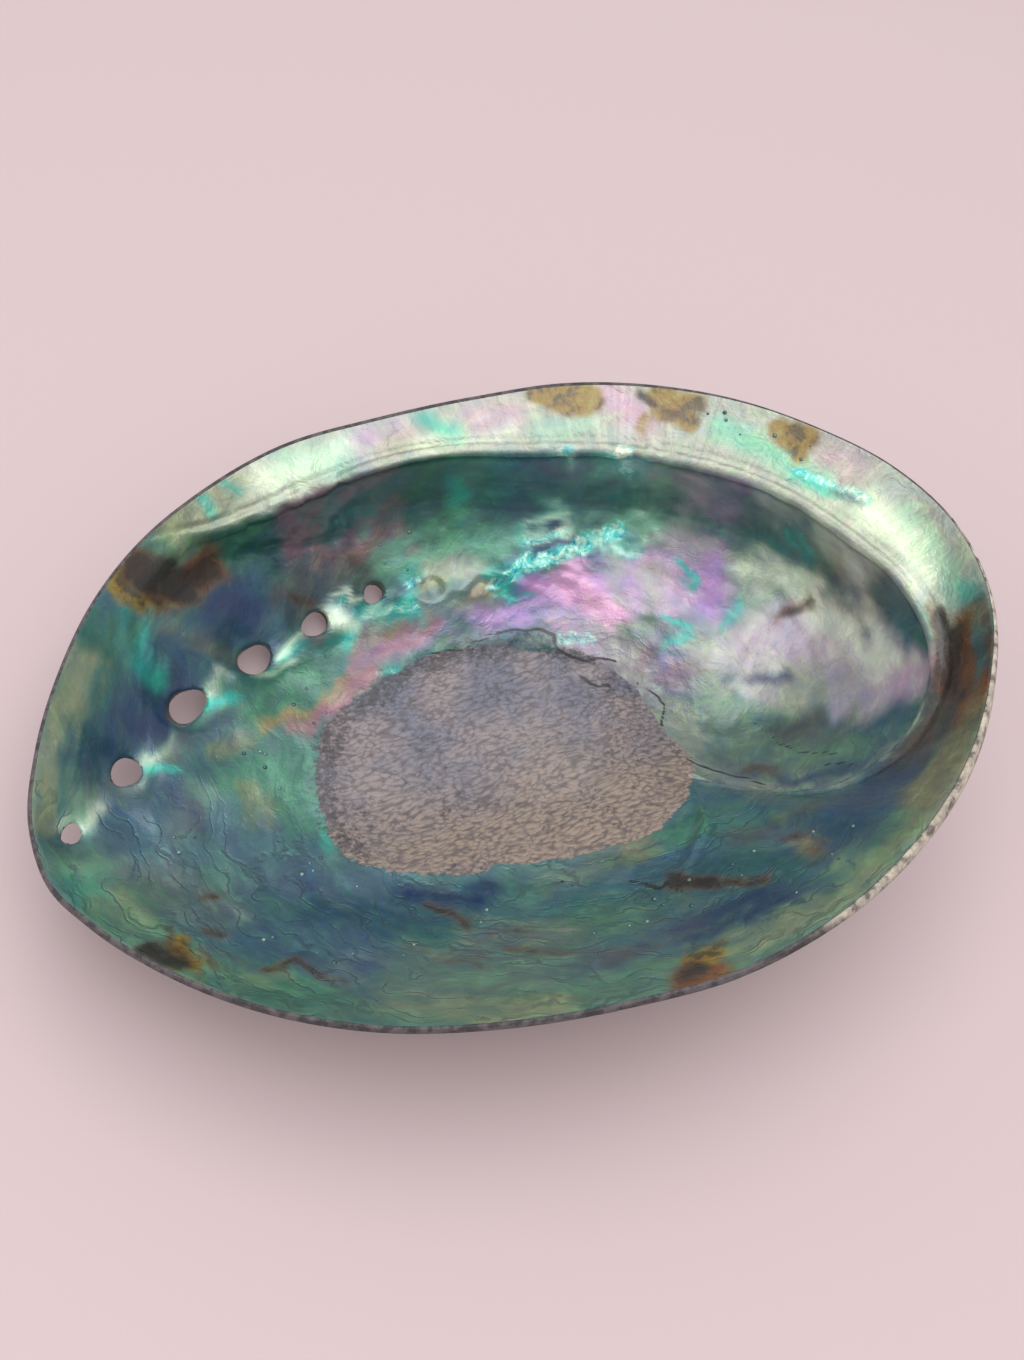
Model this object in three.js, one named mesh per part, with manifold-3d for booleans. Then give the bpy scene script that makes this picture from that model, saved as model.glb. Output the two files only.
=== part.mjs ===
// Abalone shell: one closed, ear-shaped bowl, opening upwards, with an inner ledge, a spire
// cavity at the +X end and a row of open pores down the back left. Millimetres, +Z up.
// The form is worked out in the aperture frame (rim in the plane z = 0, bowl below it) and
// then leaned over onto the three worn spots it rests on.
import * as THREE from 'three';
import Module from 'manifold-3d';

// ---- driving dimensions ------------------------------------------------------------------
const BOWL_DEPTH = 36;              // floor of the bowl below the rim
const CENTRE = [22, 2];             // plan point the rays of the mesh start from
const RAYS = 88;                    // rays round the bowl
const OPEN_RINGS = 13;              // rings across the bowl floor, inside the ledge
const OUTER_RINGS = 19;             // rings across the outer face
const LEDGE_NOSE = 1.2;             // rounding of the ledge's free edge
const LEDGE_ROOM = 5;           // least width of the ledge inside the rim
const BODY_WALL = 3.9;              // wall thickness away from the rim
const CAVITY = { x: 56, y: -3, rx: 29, ry: 36, depth: 8.2 };   // hollow under the spire
const APEX = [60, -13];             // tip of the spire, outside
const SPIRE_HEIGHT = 2.4;           // how far the spire swells out of the outer face
const TILT_X = 0.5, TILT_Y = -8.05;       // lean in the resting pose, degrees
const WORN = 0.5;                   // depth worn off the spots the shell rests on

// rim outline in plan: x, y
const RIM = [
  [90, -2], [86, 15.5], [77, 30], [65.5, 42.5], [51, 52.5], [33.5, 60], [14, 63.5], [-8, 65.5],
  [-26, 65.5], [-43, 60.5], [-58, 52.5], [-69.5, 42], [-78, 30], [-85.5, 15], [-89.5, 1],
  [-89, -9], [-83.5, -20], [-75.5, -30.5], [-63.5, -42], [-48, -52], [-28.5, -59.5], [-8, -64],
  [10, -66], [28, -64], [46, -58], [62.5, -48.5], [76.5, -35], [87, -18.5],
];
// free edge of the ledge, running on as the ridge round the spire cavity: x, y, height
const LEDGE = [
  [-58, 50.5, -1.5], [-40, 54, -3], [-20, 56, -4], [0, 55.5, -4.5], [20, 50.5, -4.5],
  [38, 43.5, -5], [53, 34, -5.5], [65, 22, -6], [73, 8, -7], [78, -6, -8.5],
  [78, -18, -11.5], [71, -28, -14.5], [59, -34, -19],
  [50, -33, -24], [42, -28, -29.5], [36, -22, -33],
];
// how the rest varies round the bowl: angle in degrees, value
const STEEPNESS = [
  [0, 4], [30, 4.8], [60, 6], [90, 7.5], [115, 7.5], [129, 7], [140, 5.8], [151, 4.8],
  [163, 3.9], [173, 3.4], [181, 3.3], [195, 3], [220, 2.6], [250, 2.3], [280, 2.2], [310, 2.5],
  [335, 3.2],
];
const OPEN_LINE = [[162, 0.9], [180, 0.86], [220, 0.8], [250, 0.72], [275, 0.5]];
const OPEN_HEIGHT = [[175, -4], [210, -15], [260, -26]];
const LEDGE_SHARE = [[-72, 0], [-62, 0.5], [-50, 1], [-20, 1], [40, 1], [90, 1], [128, 1],
  [140, 0.75], [152, 0.25], [163, 0], [200, 0], [250, 0]];
const UNDERCUT = [[-72, -3], [-58, -1.8], [-44, 0], [-25, 2], [0, 2.8], [90, 2.8], [130, 1.5],
  [165, 0], [220, -2]];
const SAG = [[-70, 1.2], [-45, 1.25], [-20, 1.6], [5, 1.8], [40, 1.35], [80, 1.2], [150, 1.1],
  [220, 1.2]];
const LIP = [[-90, 1.5], [-75, 1.9], [-55, 2.1], [-35, 2.1], [-15, 1.6], [5, 1.3], [40, 1.1],
  [90, 1.1], [150, 1.2], [180, 1.3], [230, 1.3]];
// pores: x, y of the inner mouth, half length along the row, half width, lean of the row
const PORES = [
  [-15, 48.5, 2.5, 2], [-29.5, 44, 3, 2.5], [-44, 37.5, 3.5, 3], [-59.5, 27.5, 4, 3],
  [-73.5, 13.5, 3, 2.5], [-84.5, 1, 2, 1.5],
];
const PORE_AXIS = [0.2, -0.42, 0.885];      // the way the pores run through the wall
// older pores, grown shut, that the row goes back to the spire with
const SHUT = [[-3, 46], [9, 45.5], [20, 45.5], [31, 45], [42, 43.5], [53, 40.5], [63, 35.5],
  [72, 27.5]];

// ---- curves ------------------------------------------------------------------------------
const TAU = 2 * Math.PI;
const rad = (degrees) => degrees * Math.PI / 180;
const mix = (a, b, t) => a + (b - a) * t;
const clamp = (v, lo, hi) => Math.min(hi, Math.max(lo, v));
const turn = (a) => ((a % TAU) + TAU) % TAU;
function smooth(v, lo, hi) {
  const t = clamp((v - lo) / (hi - lo), 0, 1);
  return t * t * (3 - 2 * t);
}

// A smooth closed curve through values given at angles round the bowl.
function closedCurve(pairs) {
  const sorted = pairs.map(([a, v]) => [turn(a), v]).sort((p, q) => p[0] - q[0]);
  const n = sorted.length;
  const at = (i) => {
    const k = ((i % n) + n) % n;
    return [sorted[k][0] + TAU * Math.floor(i / n), sorted[k][1]];
  };
  const slope = (i) => {
    const [a, u] = at(i - 1), [b, v] = at(i), [c, w] = at(i + 1);
    return ((c - b) * (v - u) / (b - a) + (b - a) * (w - v) / (c - b)) / (c - a);
  };
  return (angle) => {
    const a = turn(angle);
    let i = sorted.findIndex((p) => p[0] > a);
    i = (i < 0 ? n : i) - 1;
    const [x0, y0] = at(i), [x1, y1] = at(i + 1);
    const h = x1 - x0, s = (a < x0 ? a + TAU - x0 : a - x0) / h;
    return ((2 * s - 3) * s * s + 1) * y0 + ((s - 2) * s + 1) * s * h * slope(i)
      + (3 - 2 * s) * s * s * y1 + (s - 1) * s * s * h * slope(i + 1);
  };
}
const polar = (x, y) => [Math.atan2(y - CENTRE[1], x - CENTRE[0]),
  Math.hypot(x - CENTRE[0], y - CENTRE[1])];
const round = (table) => closedCurve(table.map(([d, v]) => [rad(d), v]));

const rimRadius = closedCurve(RIM.map(([x, y]) => polar(x, y)));
const ledgeRadius = closedCurve([
  ...LEDGE.map(([x, y]) => polar(x, y)),
  ...OPEN_LINE.map(([d, part]) => [rad(d), part * rimRadius(rad(d))])]);
const ledgeHeight = closedCurve([
  ...LEDGE.map(([x, y, z]) => [polar(x, y)[0], z]),
  ...OPEN_HEIGHT.map(([d, z]) => [rad(d), z])]);
const steepness = round(STEEPNESS), ledgeShare = round(LEDGE_SHARE);
const undercut = round(UNDERCUT), sag = round(SAG), lipWall = round(LIP);

// ---- surfaces ----------------------------------------------------------------------------
// Distance in plan from a point to the line the pores stand on.
function fromRow(x, y) {
  const row = [[-92, -8], ...PORES.slice().reverse(), ...SHUT];
  let best = Infinity;
  for (let i = 1; i < row.length; i++) {
    const [ax, ay] = row[i - 1], dx = row[i][0] - ax, dy = row[i][1] - ay;
    const t = clamp(((x - ax) * dx + (y - ay) * dy) / (dx * dx + dy * dy), 0, 1);
    best = Math.min(best, Math.hypot(x - ax - t * dx, y - ay - t * dy));
  }
  return best;
}
const groove = (x, y) => 1.8 * Math.exp(-((fromRow(x, y) / 6.5) ** 2)) * smooth(50 - x, 0, 30);

// Height of the bowl with no ledge in it, on the ray at an angle.
function bareHeight(angle, r) {
  const part = clamp(r / rimRadius(angle), 0, 1.2);
  return -BOWL_DEPTH * (1 - part ** steepness(angle));
}
function cavity(x, y) {
  const u = ((x - CAVITY.x) / CAVITY.rx) ** 2 + ((y - CAVITY.y) / CAVITY.ry) ** 2;
  return CAVITY.depth * Math.exp(-(u ** 1.6));
}
const planOf = (angle, r) => [CENTRE[0] + r * Math.cos(angle), CENTRE[1] + r * Math.sin(angle)];
function bowlHeight(angle, r) {
  const [x, y] = planOf(angle, r);
  return bareHeight(angle, r) - cavity(x, y) - groove(x, y);
}

// The inner face along one ray, from the middle of the bowl out to the rim: [radius, height].
function innerProfile(angle) {
  const rim = rimRadius(angle), edge = Math.min(ledgeRadius(angle), rim - LEDGE_ROOM);
  const top = ledgeHeight(angle);
  const share = ledgeShare(angle), open = [], ledged = [];
  const foot = edge + undercut(angle), footHeight = bowlHeight(angle, foot);
  const nose = [edge + LEDGE_NOSE, top - LEDGE_NOSE];
  const onBowl = (r) => [r, bowlHeight(angle, r)];
  for (let i = 1; i <= OPEN_RINGS; i++) {
    open.push(onBowl((edge - 3) * i / OPEN_RINGS));
    ledged.push(onBowl(foot * i / OPEN_RINGS));
  }
  for (const [i, t] of [0.35, 0.7, 0.9].entries()) {       // up the wall below the ledge
    open.push(onBowl(edge - 2 + i));
    ledged.push([mix(foot, nose[0] - 0.4, t ** 1.6), mix(footHeight, nose[1] - 1, t)]);
  }
  for (const [i, d] of [-20, 35, 90].entries()) {          // round its free edge
    open.push(onBowl(edge + 1 + i));
    ledged.push([nose[0] - LEDGE_NOSE * Math.cos(rad(d)), nose[1] + LEDGE_NOSE * Math.sin(rad(d))]);
  }
  for (const t of [0.25, 0.5, 0.75, 1]) {                  // across the ledge to the rim
    open.push(onBowl(mix(edge + 3, rim, t)));
    ledged.push([mix(nose[0], rim, t), top * (1 - t ** sag(angle))]);
  }
  return open.map(([r, z], i) => [
    mix(r, ledged[i][0], share), mix(z, ledged[i][1], share)]);
}

// Swelling of the outer face: spire, its suture, and the knobs over the pores.
function swelling(x, y) {
  const dx = x - APEX[0], dy = y - APEX[1], d = Math.hypot(dx, dy);
  const spiral = Math.log(Math.max(d, 1) / 27) / Math.log(14) - Math.atan2(dy, dx) / TAU;
  const off = Math.abs(spiral - Math.round(spiral)) * 14;
  const suture = -1.3 * Math.exp(-off * off) * (1 - smooth(d, 22, 46)) * smooth(d, 2, 6);
  let knobs = 0;
  for (const [px, py] of [...PORES, ...SHUT]) {
    knobs = Math.max(knobs, 1.7 * Math.exp(-(((x - px) ** 2 + (y - py) ** 2) / 30)));
  }
  return SPIRE_HEIGHT * Math.exp(-((d / 15) ** 2)) + suture + knobs;
}
function outerPoint(angle, part) {
  const r = part * rimRadius(angle), [x, y] = planOf(angle, r), h = 0.5;
  const height = (px, py) => bowlHeight(...polar(px, py));
  const gx = (height(x + h, y) - height(x - h, y)) / (2 * h);
  const gy = (height(x, y + h) - height(x, y - h)) / (2 * h);
  const down = new THREE.Vector3(gx, gy, -1).normalize();
  const lip = lipWall(angle), body = mix(BODY_WALL, lip, smooth(part, 0.72, 1));
  const shoulder = 2 * smooth(Math.cos(angle + 0.35), 0.6, 1) * smooth(part, 0.5, 0.8)
    * (1 - smooth(part, 0.85, 1));
  const wall = body + shoulder + swelling(x, y) * (1 - smooth(part, 0.9, 1));
  return new THREE.Vector3(x, y, height(x, y)).addScaledVector(down, wall);
}

// ---- the solid ---------------------------------------------------------------------------
// Rays spaced evenly along the rim.
function rayAngles(count) {
  const fine = 2880, length = [0];
  let [px, py] = planOf(0, rimRadius(0));
  for (let i = 1; i <= fine; i++) {
    const a = TAU * i / fine, [x, y] = planOf(a, rimRadius(a));
    length.push(length[i - 1] + Math.hypot(x - px, y - py));
    [px, py] = [x, y];
  }
  return Array.from({ length: count }, (_, k) => {
    const want = length[fine] * k / count, i = length.findIndex((l) => l > want);
    return TAU * (i - 1 + (want - length[i - 1]) / (length[i] - length[i - 1])) / fine;
  });
}

// A closed skin from a start point, rings of equal count and an end point.
function loft(start, rings, end) {
  const n = rings[0].length, points = [start, ...rings.flat(), end], index = [];
  const id = (ring, k) => 1 + ring * n + (k % n), last = rings.length - 1;
  for (let k = 0; k < n; k++) {
    index.push(0, id(0, k), id(0, k + 1));
    index.push(points.length - 1, id(last, k + 1), id(last, k));
    for (let i = 0; i < last; i++) {
      index.push(id(i, k), id(i + 1, k), id(i + 1, k + 1));
      index.push(id(i, k), id(i + 1, k + 1), id(i, k + 1));
    }
  }
  const geometry = new THREE.BufferGeometry();
  geometry.setAttribute('position',
    new THREE.Float32BufferAttribute(points.flatMap((p) => [p.x, p.y, p.z]), 3));
  geometry.setIndex(index);
  return geometry;
}

function shellSkin() {
  const angles = rayAngles(RAYS);
  const inner = angles.map((a) => innerProfile(a).map(([r, z]) => {
    const [x, y] = planOf(a, r);
    return new THREE.Vector3(x, y, z);
  }));
  const parts = Array.from({ length: OUTER_RINGS }, (_, i) => 1 - (i / OUTER_RINGS) ** 1.25);
  const outer = angles.map((a) => parts.map((part) => outerPoint(a, part)));
  const lip = angles.map((a, k) => {
    const rimPoint = inner[k].at(-1), outside = outer[k][0];
    const crown = rimPoint.clone().lerp(outside, 0.5);
    crown.z += 0.3 * rimPoint.distanceTo(outside);
    return [crown];
  });
  const columns = angles.map((a, k) => [...inner[k], ...lip[k], ...outer[k]]);
  const rings = columns[0].map((_, i) => columns.map((column) => column[i]));
  const floor = new THREE.Vector3(...CENTRE, bowlHeight(0, 0));
  return loft(floor, rings, outerPoint(0, 0));
}

// A cutter for one pore: waisted, so both mouths flare.
function poreSkin([x, y, long, wide]) {
  const [angle, r] = polar(x, y), axis = new THREE.Vector3(...PORE_AXIS).normalize();
  const row = fromRowDirection(x, y), along = new THREE.Vector3(row[0], row[1], 0);
  along.addScaledVector(axis, -along.dot(axis)).normalize();
  const across = axis.clone().cross(along), middle = new THREE.Vector3(x, y, bowlHeight(angle, r));
  const ring = ([depth, flare]) => Array.from({ length: 20 }, (_, k) => {
    const a = TAU * k / 20;
    return middle.clone().addScaledVector(axis, depth)
      .addScaledVector(along, (long + flare) * Math.cos(a))
      .addScaledVector(across, (wide + flare) * Math.sin(a));
  });
  const stations = [[5, 3.2], [1.5, 1.5], [-0.2, 0.5], [-1.6, 0], [-3.4, 0], [-5, 0.5], [-14, 1.2]];
  const end = (depth) => middle.clone().addScaledVector(axis, depth);
  return loft(end(5), stations.map(ring), end(-14));
}
function fromRowDirection(x, y) {
  const i = PORES.findIndex(([px, py]) => px === x && py === y);
  const [ax, ay] = PORES[Math.max(i - 1, 0)], [bx, by] = PORES[Math.min(i + 1, PORES.length - 1)];
  const length = Math.hypot(bx - ax, by - ay);
  return [(bx - ax) / length, (by - ay) / length];
}

const wasm = await Module();
wasm.setup();
function solid(geometry) {
  return new wasm.Manifold(new wasm.Mesh({
    numProp: 3,
    vertProperties: new Float32Array(geometry.attributes.position.array),
    triVerts: new Uint32Array(geometry.index.array),
  }));
}
function geometryOf(body) {
  const mesh = body.getMesh(), geometry = new THREE.BufferGeometry();
  geometry.setAttribute('position', new THREE.BufferAttribute(
    new Float32Array(mesh.vertProperties), 3));
  geometry.setIndex(new THREE.BufferAttribute(new Uint32Array(mesh.triVerts), 1));
  return geometry;
}

// Leaned onto its resting spots, worn flat there, and centred over the origin.
function settle(geometry) {
  geometry.rotateX(rad(TILT_X));
  geometry.rotateY(rad(TILT_Y));
  geometry.computeBoundingBox();
  geometry.translate(0, 0, -geometry.boundingBox.min.z - WORN);
  const half = 200, corners = [[-half, -half], [half, -half], [half, half], [-half, half]];
  const layer = (z) => corners.map(([x, y]) => new THREE.Vector3(x, y, z));
  const ground = loft(new THREE.Vector3(0, 0, 0), [layer(0), layer(-50)],
    new THREE.Vector3(0, 0, -50));
  const settled = geometryOf(solid(geometry).subtract(solid(ground)));
  settled.computeBoundingBox();
  const middle = settled.boundingBox.getCenter(new THREE.Vector3());
  settled.translate(-middle.x, -middle.y, -settled.boundingBox.min.z);
  return settled;
}

function abaloneShell() {
  let body = solid(shellSkin());
  for (const pore of PORES) body = body.subtract(solid(poreSkin(pore)));
  const geometry = settle(geometryOf(body));
  geometry.computeVertexNormals();
  const nacre = new THREE.MeshStandardMaterial({ color: 0x4f9a92, roughness: 0.35 });
  const mesh = new THREE.Mesh(geometry, nacre);
  mesh.name = 'abalone_shell';
  return mesh;
}

const part = new THREE.Group();
part.add(abaloneShell());
export default part;
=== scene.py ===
"""An empty abalone shell lying on its back: rainbow nacre, a rough muscle scar and a crusted outside.

The shell's form is worked out in millimetres in its aperture frame, where the rim is the plane
z = 0, +X is the spire end and +Y the side of the ledge and the pores. A last step leans it onto
its resting spots and writes it in metres.
"""
import logging
import math
from dataclasses import dataclass, field
from enum import Enum
from typing import Sequence

import bmesh
import bpy
import numpy as np
from mathutils import Matrix, Vector, kdtree, noise


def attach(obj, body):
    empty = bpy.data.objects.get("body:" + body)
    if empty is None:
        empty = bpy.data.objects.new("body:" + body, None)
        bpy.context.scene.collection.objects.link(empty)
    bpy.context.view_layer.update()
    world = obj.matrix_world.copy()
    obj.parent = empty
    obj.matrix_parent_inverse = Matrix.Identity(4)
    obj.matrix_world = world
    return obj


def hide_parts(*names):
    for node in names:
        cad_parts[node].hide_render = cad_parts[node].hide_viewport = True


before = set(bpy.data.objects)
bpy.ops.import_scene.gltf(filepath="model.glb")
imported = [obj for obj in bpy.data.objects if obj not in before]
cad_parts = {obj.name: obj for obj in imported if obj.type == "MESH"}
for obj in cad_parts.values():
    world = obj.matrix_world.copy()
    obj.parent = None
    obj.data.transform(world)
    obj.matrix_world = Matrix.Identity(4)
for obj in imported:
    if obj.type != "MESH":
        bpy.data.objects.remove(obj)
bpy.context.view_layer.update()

LOG = logging.getLogger("abalone")
MM = 0.001
TURN = 2 * math.pi
Pairs = Sequence[tuple[float, float]]


class Region(Enum):
    """Finishes of the shell, in order: its three material slots, then those of its grains and its blisters.
    """

    NACRE = 0
    LIP = 1
    CRUST = 2
    GRANULE = 3
    BLISTER = 4


# ---- curves and noise --------------------------------------------------------------------

def smooth(value: np.ndarray, low: float, high: float) -> np.ndarray:
    """Rise smoothly from 0 at low to 1 at high.

    Args:
        value: Where to look.
        low: Value at which the rise starts.
        high: Value at which it ends.

    Returns:
        The height of the rise, 0 to 1.
    """
    t = np.clip((np.asarray(value, float) - low) / (high - low), 0, 1)
    return t * t * (3 - 2 * t)


def bell(distance: np.ndarray, width: float) -> np.ndarray:
    """A bell curve: 1 at distance 0, fading over width."""
    return np.exp(-(np.asarray(distance, float) / width) ** 2)


class ClosedCurve:
    """A smooth closed curve through values given at angles round the bowl."""

    def __init__(self, angles: Sequence[float], values: Sequence[float]) -> None:
        """Store the sorted points and their slopes.

        Args:
            angles: Angles in radians.
            values: The value at each angle.
        """
        turned = np.asarray(angles, float) % TURN
        order = np.argsort(turned)
        a, v = turned[order], np.asarray(values, float)[order]
        a = np.concatenate([a[-2:] - TURN, a, a[:2] + TURN])
        v = np.concatenate([v[-2:], v, v[:2]])
        step, rise = np.diff(a), np.diff(v)
        slope = np.zeros_like(v)
        slope[1:-1] = (step[1:] * rise[:-1] / step[:-1] + step[:-1] * rise[1:] / step[1:]) / (
            step[1:] + step[:-1])
        self.a, self.v, self.slope = a, v, slope

    def __call__(self, angle: np.ndarray) -> np.ndarray:
        """The curve's value at each angle."""
        t = np.asarray(angle, float) % TURN
        i = np.clip(np.searchsorted(self.a, t, side="right") - 1, 1, len(self.a) - 3)
        h = self.a[i + 1] - self.a[i]
        s = (t - self.a[i]) / h
        return (((2 * s - 3) * s * s + 1) * self.v[i] + ((s - 2) * s + 1) * s * h * self.slope[i]
                + (3 - 2 * s) * s * s * self.v[i + 1] + (s - 1) * s * s * h * self.slope[i + 1])


def round_bowl(pairs: Pairs) -> ClosedCurve:
    """A closed curve from pairs of an angle in degrees and a value."""
    return ClosedCurve([math.radians(a) for a, _ in pairs], [v for _, v in pairs])


def lumps(points: np.ndarray, size: float, seed: float = 0.0, octaves: int = 3) -> np.ndarray:
    """Soft random lumps, about -1 to 1.

    Args:
        points: Positions, one row each.
        size: Size of the largest lumps, in the points' own unit.
        seed: Shifts the pattern.
        octaves: How many finer layers are added.

    Returns:
        One value per point.
    """
    shift = Vector((seed * 17.3, seed * 5.1, seed * 9.7))
    return np.array([noise.fractal(Vector(p) / size + shift, 0.8, 2.0, octaves) for p in points])


# ---- the form ----------------------------------------------------------------------------

@dataclass(frozen=True)
class Pore:
    """One pore of the row: where it opens inside, and its half length and half width, in mm."""

    x: float
    y: float
    long: float
    wide: float


@dataclass
class ShellForm:
    """The shell's shape as rules in the aperture frame, in mm."""

    bowl_depth: float = 36
    centre: tuple[float, float] = (22, 2)
    ledge_nose: float = 1.2
    ledge_room: float = 5
    body_wall: float = 3.9
    cavity_at: tuple[float, float] = (56, -3)
    cavity_size: tuple[float, float] = (29, 36)
    cavity_depth: float = 8.2
    apex: tuple[float, float] = (60, -13)
    spire_height: float = 2.4
    rim: Sequence[tuple[float, float]] = (
        (90, -2), (86, 15.5), (77, 30), (65.5, 42.5), (51, 52.5), (33.5, 60), (14, 63.5),
        (-8, 65.5), (-26, 65.5), (-43, 60.5), (-58, 52.5), (-69.5, 42), (-78, 30), (-85.5, 15),
        (-89.5, 1), (-89, -9), (-83.5, -20), (-75.5, -30.5), (-63.5, -42), (-48, -52),
        (-28.5, -59.5), (-8, -64), (10, -66), (28, -64), (46, -58), (62.5, -48.5), (76.5, -35),
        (87, -18.5))
    ledge: Sequence[tuple[float, float, float]] = (
        (-58, 50.5, -1.5), (-40, 54, -3), (-20, 56, -4), (0, 55.5, -4.5), (20, 50.5, -4.5),
        (38, 43.5, -5), (53, 34, -5.5), (65, 22, -6), (73, 8, -7), (78, -6, -8.5),
        (78, -18, -11.5), (71, -28, -14.5), (59, -34, -19),
        (50, -33, -24), (42, -28, -29.5), (36, -22, -33))
    open_line: Pairs = ((162, 0.9), (180, 0.86), (220, 0.8), (250, 0.72), (275, 0.5))
    open_height: Pairs = ((175, -4), (210, -15), (260, -26))
    steepness: Pairs = (
        (0, 4), (30, 4.8), (60, 6), (90, 7.5), (115, 7.5), (129, 7), (140, 5.8), (151, 4.8),
        (163, 3.9), (173, 3.4), (181, 3.3), (195, 3), (220, 2.6), (250, 2.3), (280, 2.2),
        (310, 2.5), (335, 3.2))
    ledge_share: Pairs = (
        (-72, 0), (-62, 0.5), (-50, 1), (-20, 1), (40, 1), (90, 1), (128, 1), (140, 0.75),
        (152, 0.25), (163, 0), (200, 0), (250, 0))
    undercut: Pairs = (
        (-72, -3), (-58, -1.8), (-44, 0), (-25, 2), (0, 2.8), (90, 2.8), (130, 1.5), (165, 0),
        (220, -2))
    sag: Pairs = (
        (-70, 1.2), (-45, 1.25), (-20, 1.6), (5, 1.8), (40, 1.35), (80, 1.2), (150, 1.1),
        (220, 1.2))
    lip: Pairs = (
        (-90, 1.5), (-75, 1.9), (-55, 2.1), (-35, 2.1), (-15, 1.6), (5, 1.3), (40, 1.1),
        (90, 1.1), (150, 1.2), (180, 1.3), (230, 1.3))
    pores: Sequence[Pore] = (
        Pore(-15, 48.5, 2.5, 2), Pore(-29.5, 44, 3, 2.5), Pore(-44, 37.5, 3.5, 3),
        Pore(-59.5, 27.5, 4, 3), Pore(-73.5, 13.5, 3, 2.5), Pore(-84.5, 1, 2, 1.5))
    shut: Sequence[tuple[float, float]] = (
        (-3, 46), (9, 45.5), (20, 45.5), (31, 45), (42, 43.5), (53, 40.5), (63, 35.5), (72, 27.5))
    pore_axis: tuple[float, float, float] = (0.2, -0.42, 0.885)
    curves: dict[str, ClosedCurve] = field(default_factory=dict)

    def __post_init__(self) -> None:
        """Fit the closed curves through the listed points."""
        rim_polar = [self.polar(x, y) for x, y in self.rim]
        rim = ClosedCurve([a for a, _ in rim_polar], [r for _, r in rim_polar])
        ledge_polar = [self.polar(x, y) for x, y, _ in self.ledge]
        open_angles = [math.radians(a) for a, _ in self.open_line]
        open_radii = [part * float(rim(math.radians(a))) for a, part in self.open_line]
        self.curves = {
            "rim": rim,
            "ledge": ClosedCurve([a for a, _ in ledge_polar] + open_angles,
                                 [r for _, r in ledge_polar] + open_radii),
            "ledge_top": ClosedCurve(
                [a for a, _ in ledge_polar] + [math.radians(a) for a, _ in self.open_height],
                [z for _, _, z in self.ledge] + [z for _, z in self.open_height]),
            "steepness": round_bowl(self.steepness), "share": round_bowl(self.ledge_share),
            "undercut": round_bowl(self.undercut), "sag": round_bowl(self.sag),
            "lip": round_bowl(self.lip)}

    def polar(self, x: np.ndarray, y: np.ndarray) -> tuple[np.ndarray, np.ndarray]:
        """Angle and radius about the centre of the rays."""
        dx, dy = np.asarray(x, float) - self.centre[0], np.asarray(y, float) - self.centre[1]
        return np.arctan2(dy, dx), np.hypot(dx, dy)

    def plan(self, angle: np.ndarray, r: np.ndarray) -> tuple[np.ndarray, np.ndarray]:
        """Plan position of a radius on a ray."""
        return self.centre[0] + r * np.cos(angle), self.centre[1] + r * np.sin(angle)

    def from_row(self, x: np.ndarray, y: np.ndarray) -> np.ndarray:
        """Distance in plan to the line the pores stand on."""
        row = [(-92, -8)] + [(p.x, p.y) for p in reversed(self.pores)] + list(self.shut)
        best = np.full(np.shape(x), np.inf)
        for (ax, ay), (bx, by) in zip(row, row[1:]):
            best = np.minimum(best, segment_distance(x, y, (ax, ay), (bx, by)))
        return best

    def bowl_height(self, angle: np.ndarray, r: np.ndarray) -> np.ndarray:
        """Height of the bowl with no ledge in it, on the ray at an angle."""
        part = np.clip(r / self.curves["rim"](angle), 0, 1.2)
        bare = -self.bowl_depth * (1 - part ** self.curves["steepness"](angle))
        x, y = self.plan(angle, r)
        (cx, cy), (rx, ry) = self.cavity_at, self.cavity_size
        hollow = self.cavity_depth * np.exp(
            -(((x - cx) / rx) ** 2 + ((y - cy) / ry) ** 2) ** 1.6)
        groove = 1.8 * bell(self.from_row(x, y), 6.5) * smooth(50 - x, 0, 30)
        return bare - hollow - groove

    def height_at(self, x: np.ndarray, y: np.ndarray) -> np.ndarray:
        """Height of the bowl with no ledge in it, at a plan position."""
        return self.bowl_height(*self.polar(x, y))

    def swelling(self, x: np.ndarray, y: np.ndarray) -> np.ndarray:
        """How far spire, suture and the knobs over the pores stand out of the outer face."""
        dx, dy = x - self.apex[0], y - self.apex[1]
        d = np.hypot(dx, dy)
        spiral = np.log(np.maximum(d, 1) / 27) / math.log(14) - np.arctan2(dy, dx) / TURN
        off = np.abs(spiral - np.round(spiral)) * 14
        suture = -1.3 * np.exp(-off * off) * (1 - smooth(d, 22, 46)) * smooth(d, 2, 6)
        knobs = np.zeros_like(x)
        for px, py in [(p.x, p.y) for p in self.pores] + list(self.shut):
            knobs = np.maximum(knobs, 1.7 * np.exp(-((x - px) ** 2 + (y - py) ** 2) / 30))
        return self.spire_height * bell(d, 15) + suture + knobs


def segment_distance(x: np.ndarray, y: np.ndarray, a: tuple[float, float],
                     b: tuple[float, float]) -> np.ndarray:
    """Distance in plan from points to a straight segment.

    Args:
        x: The points' x.
        y: The points' y.
        a: One end of the segment.
        b: Its other end.

    Returns:
        One distance per point.
    """
    dx, dy = b[0] - a[0], b[1] - a[1]
    t = ((x - a[0]) * dx + (y - a[1]) * dy) / max(dx * dx + dy * dy, 1e-9)
    t = np.clip(t, 0, 1)
    return np.hypot(x - a[0] - t * dx, y - a[1] - t * dy)


Colour = tuple[float, float, float]


def tint(red: int, green: int, blue: int) -> Colour:
    """A colour from its everyday 0 to 255 values, as the shader takes it."""
    def part(value: int) -> float:
        """One channel, made linear."""
        v = value / 255
        return v / 12.92 if v <= 0.04045 else ((v + 0.055) / 1.055) ** 2.4
    return part(red), part(green), part(blue)


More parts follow.
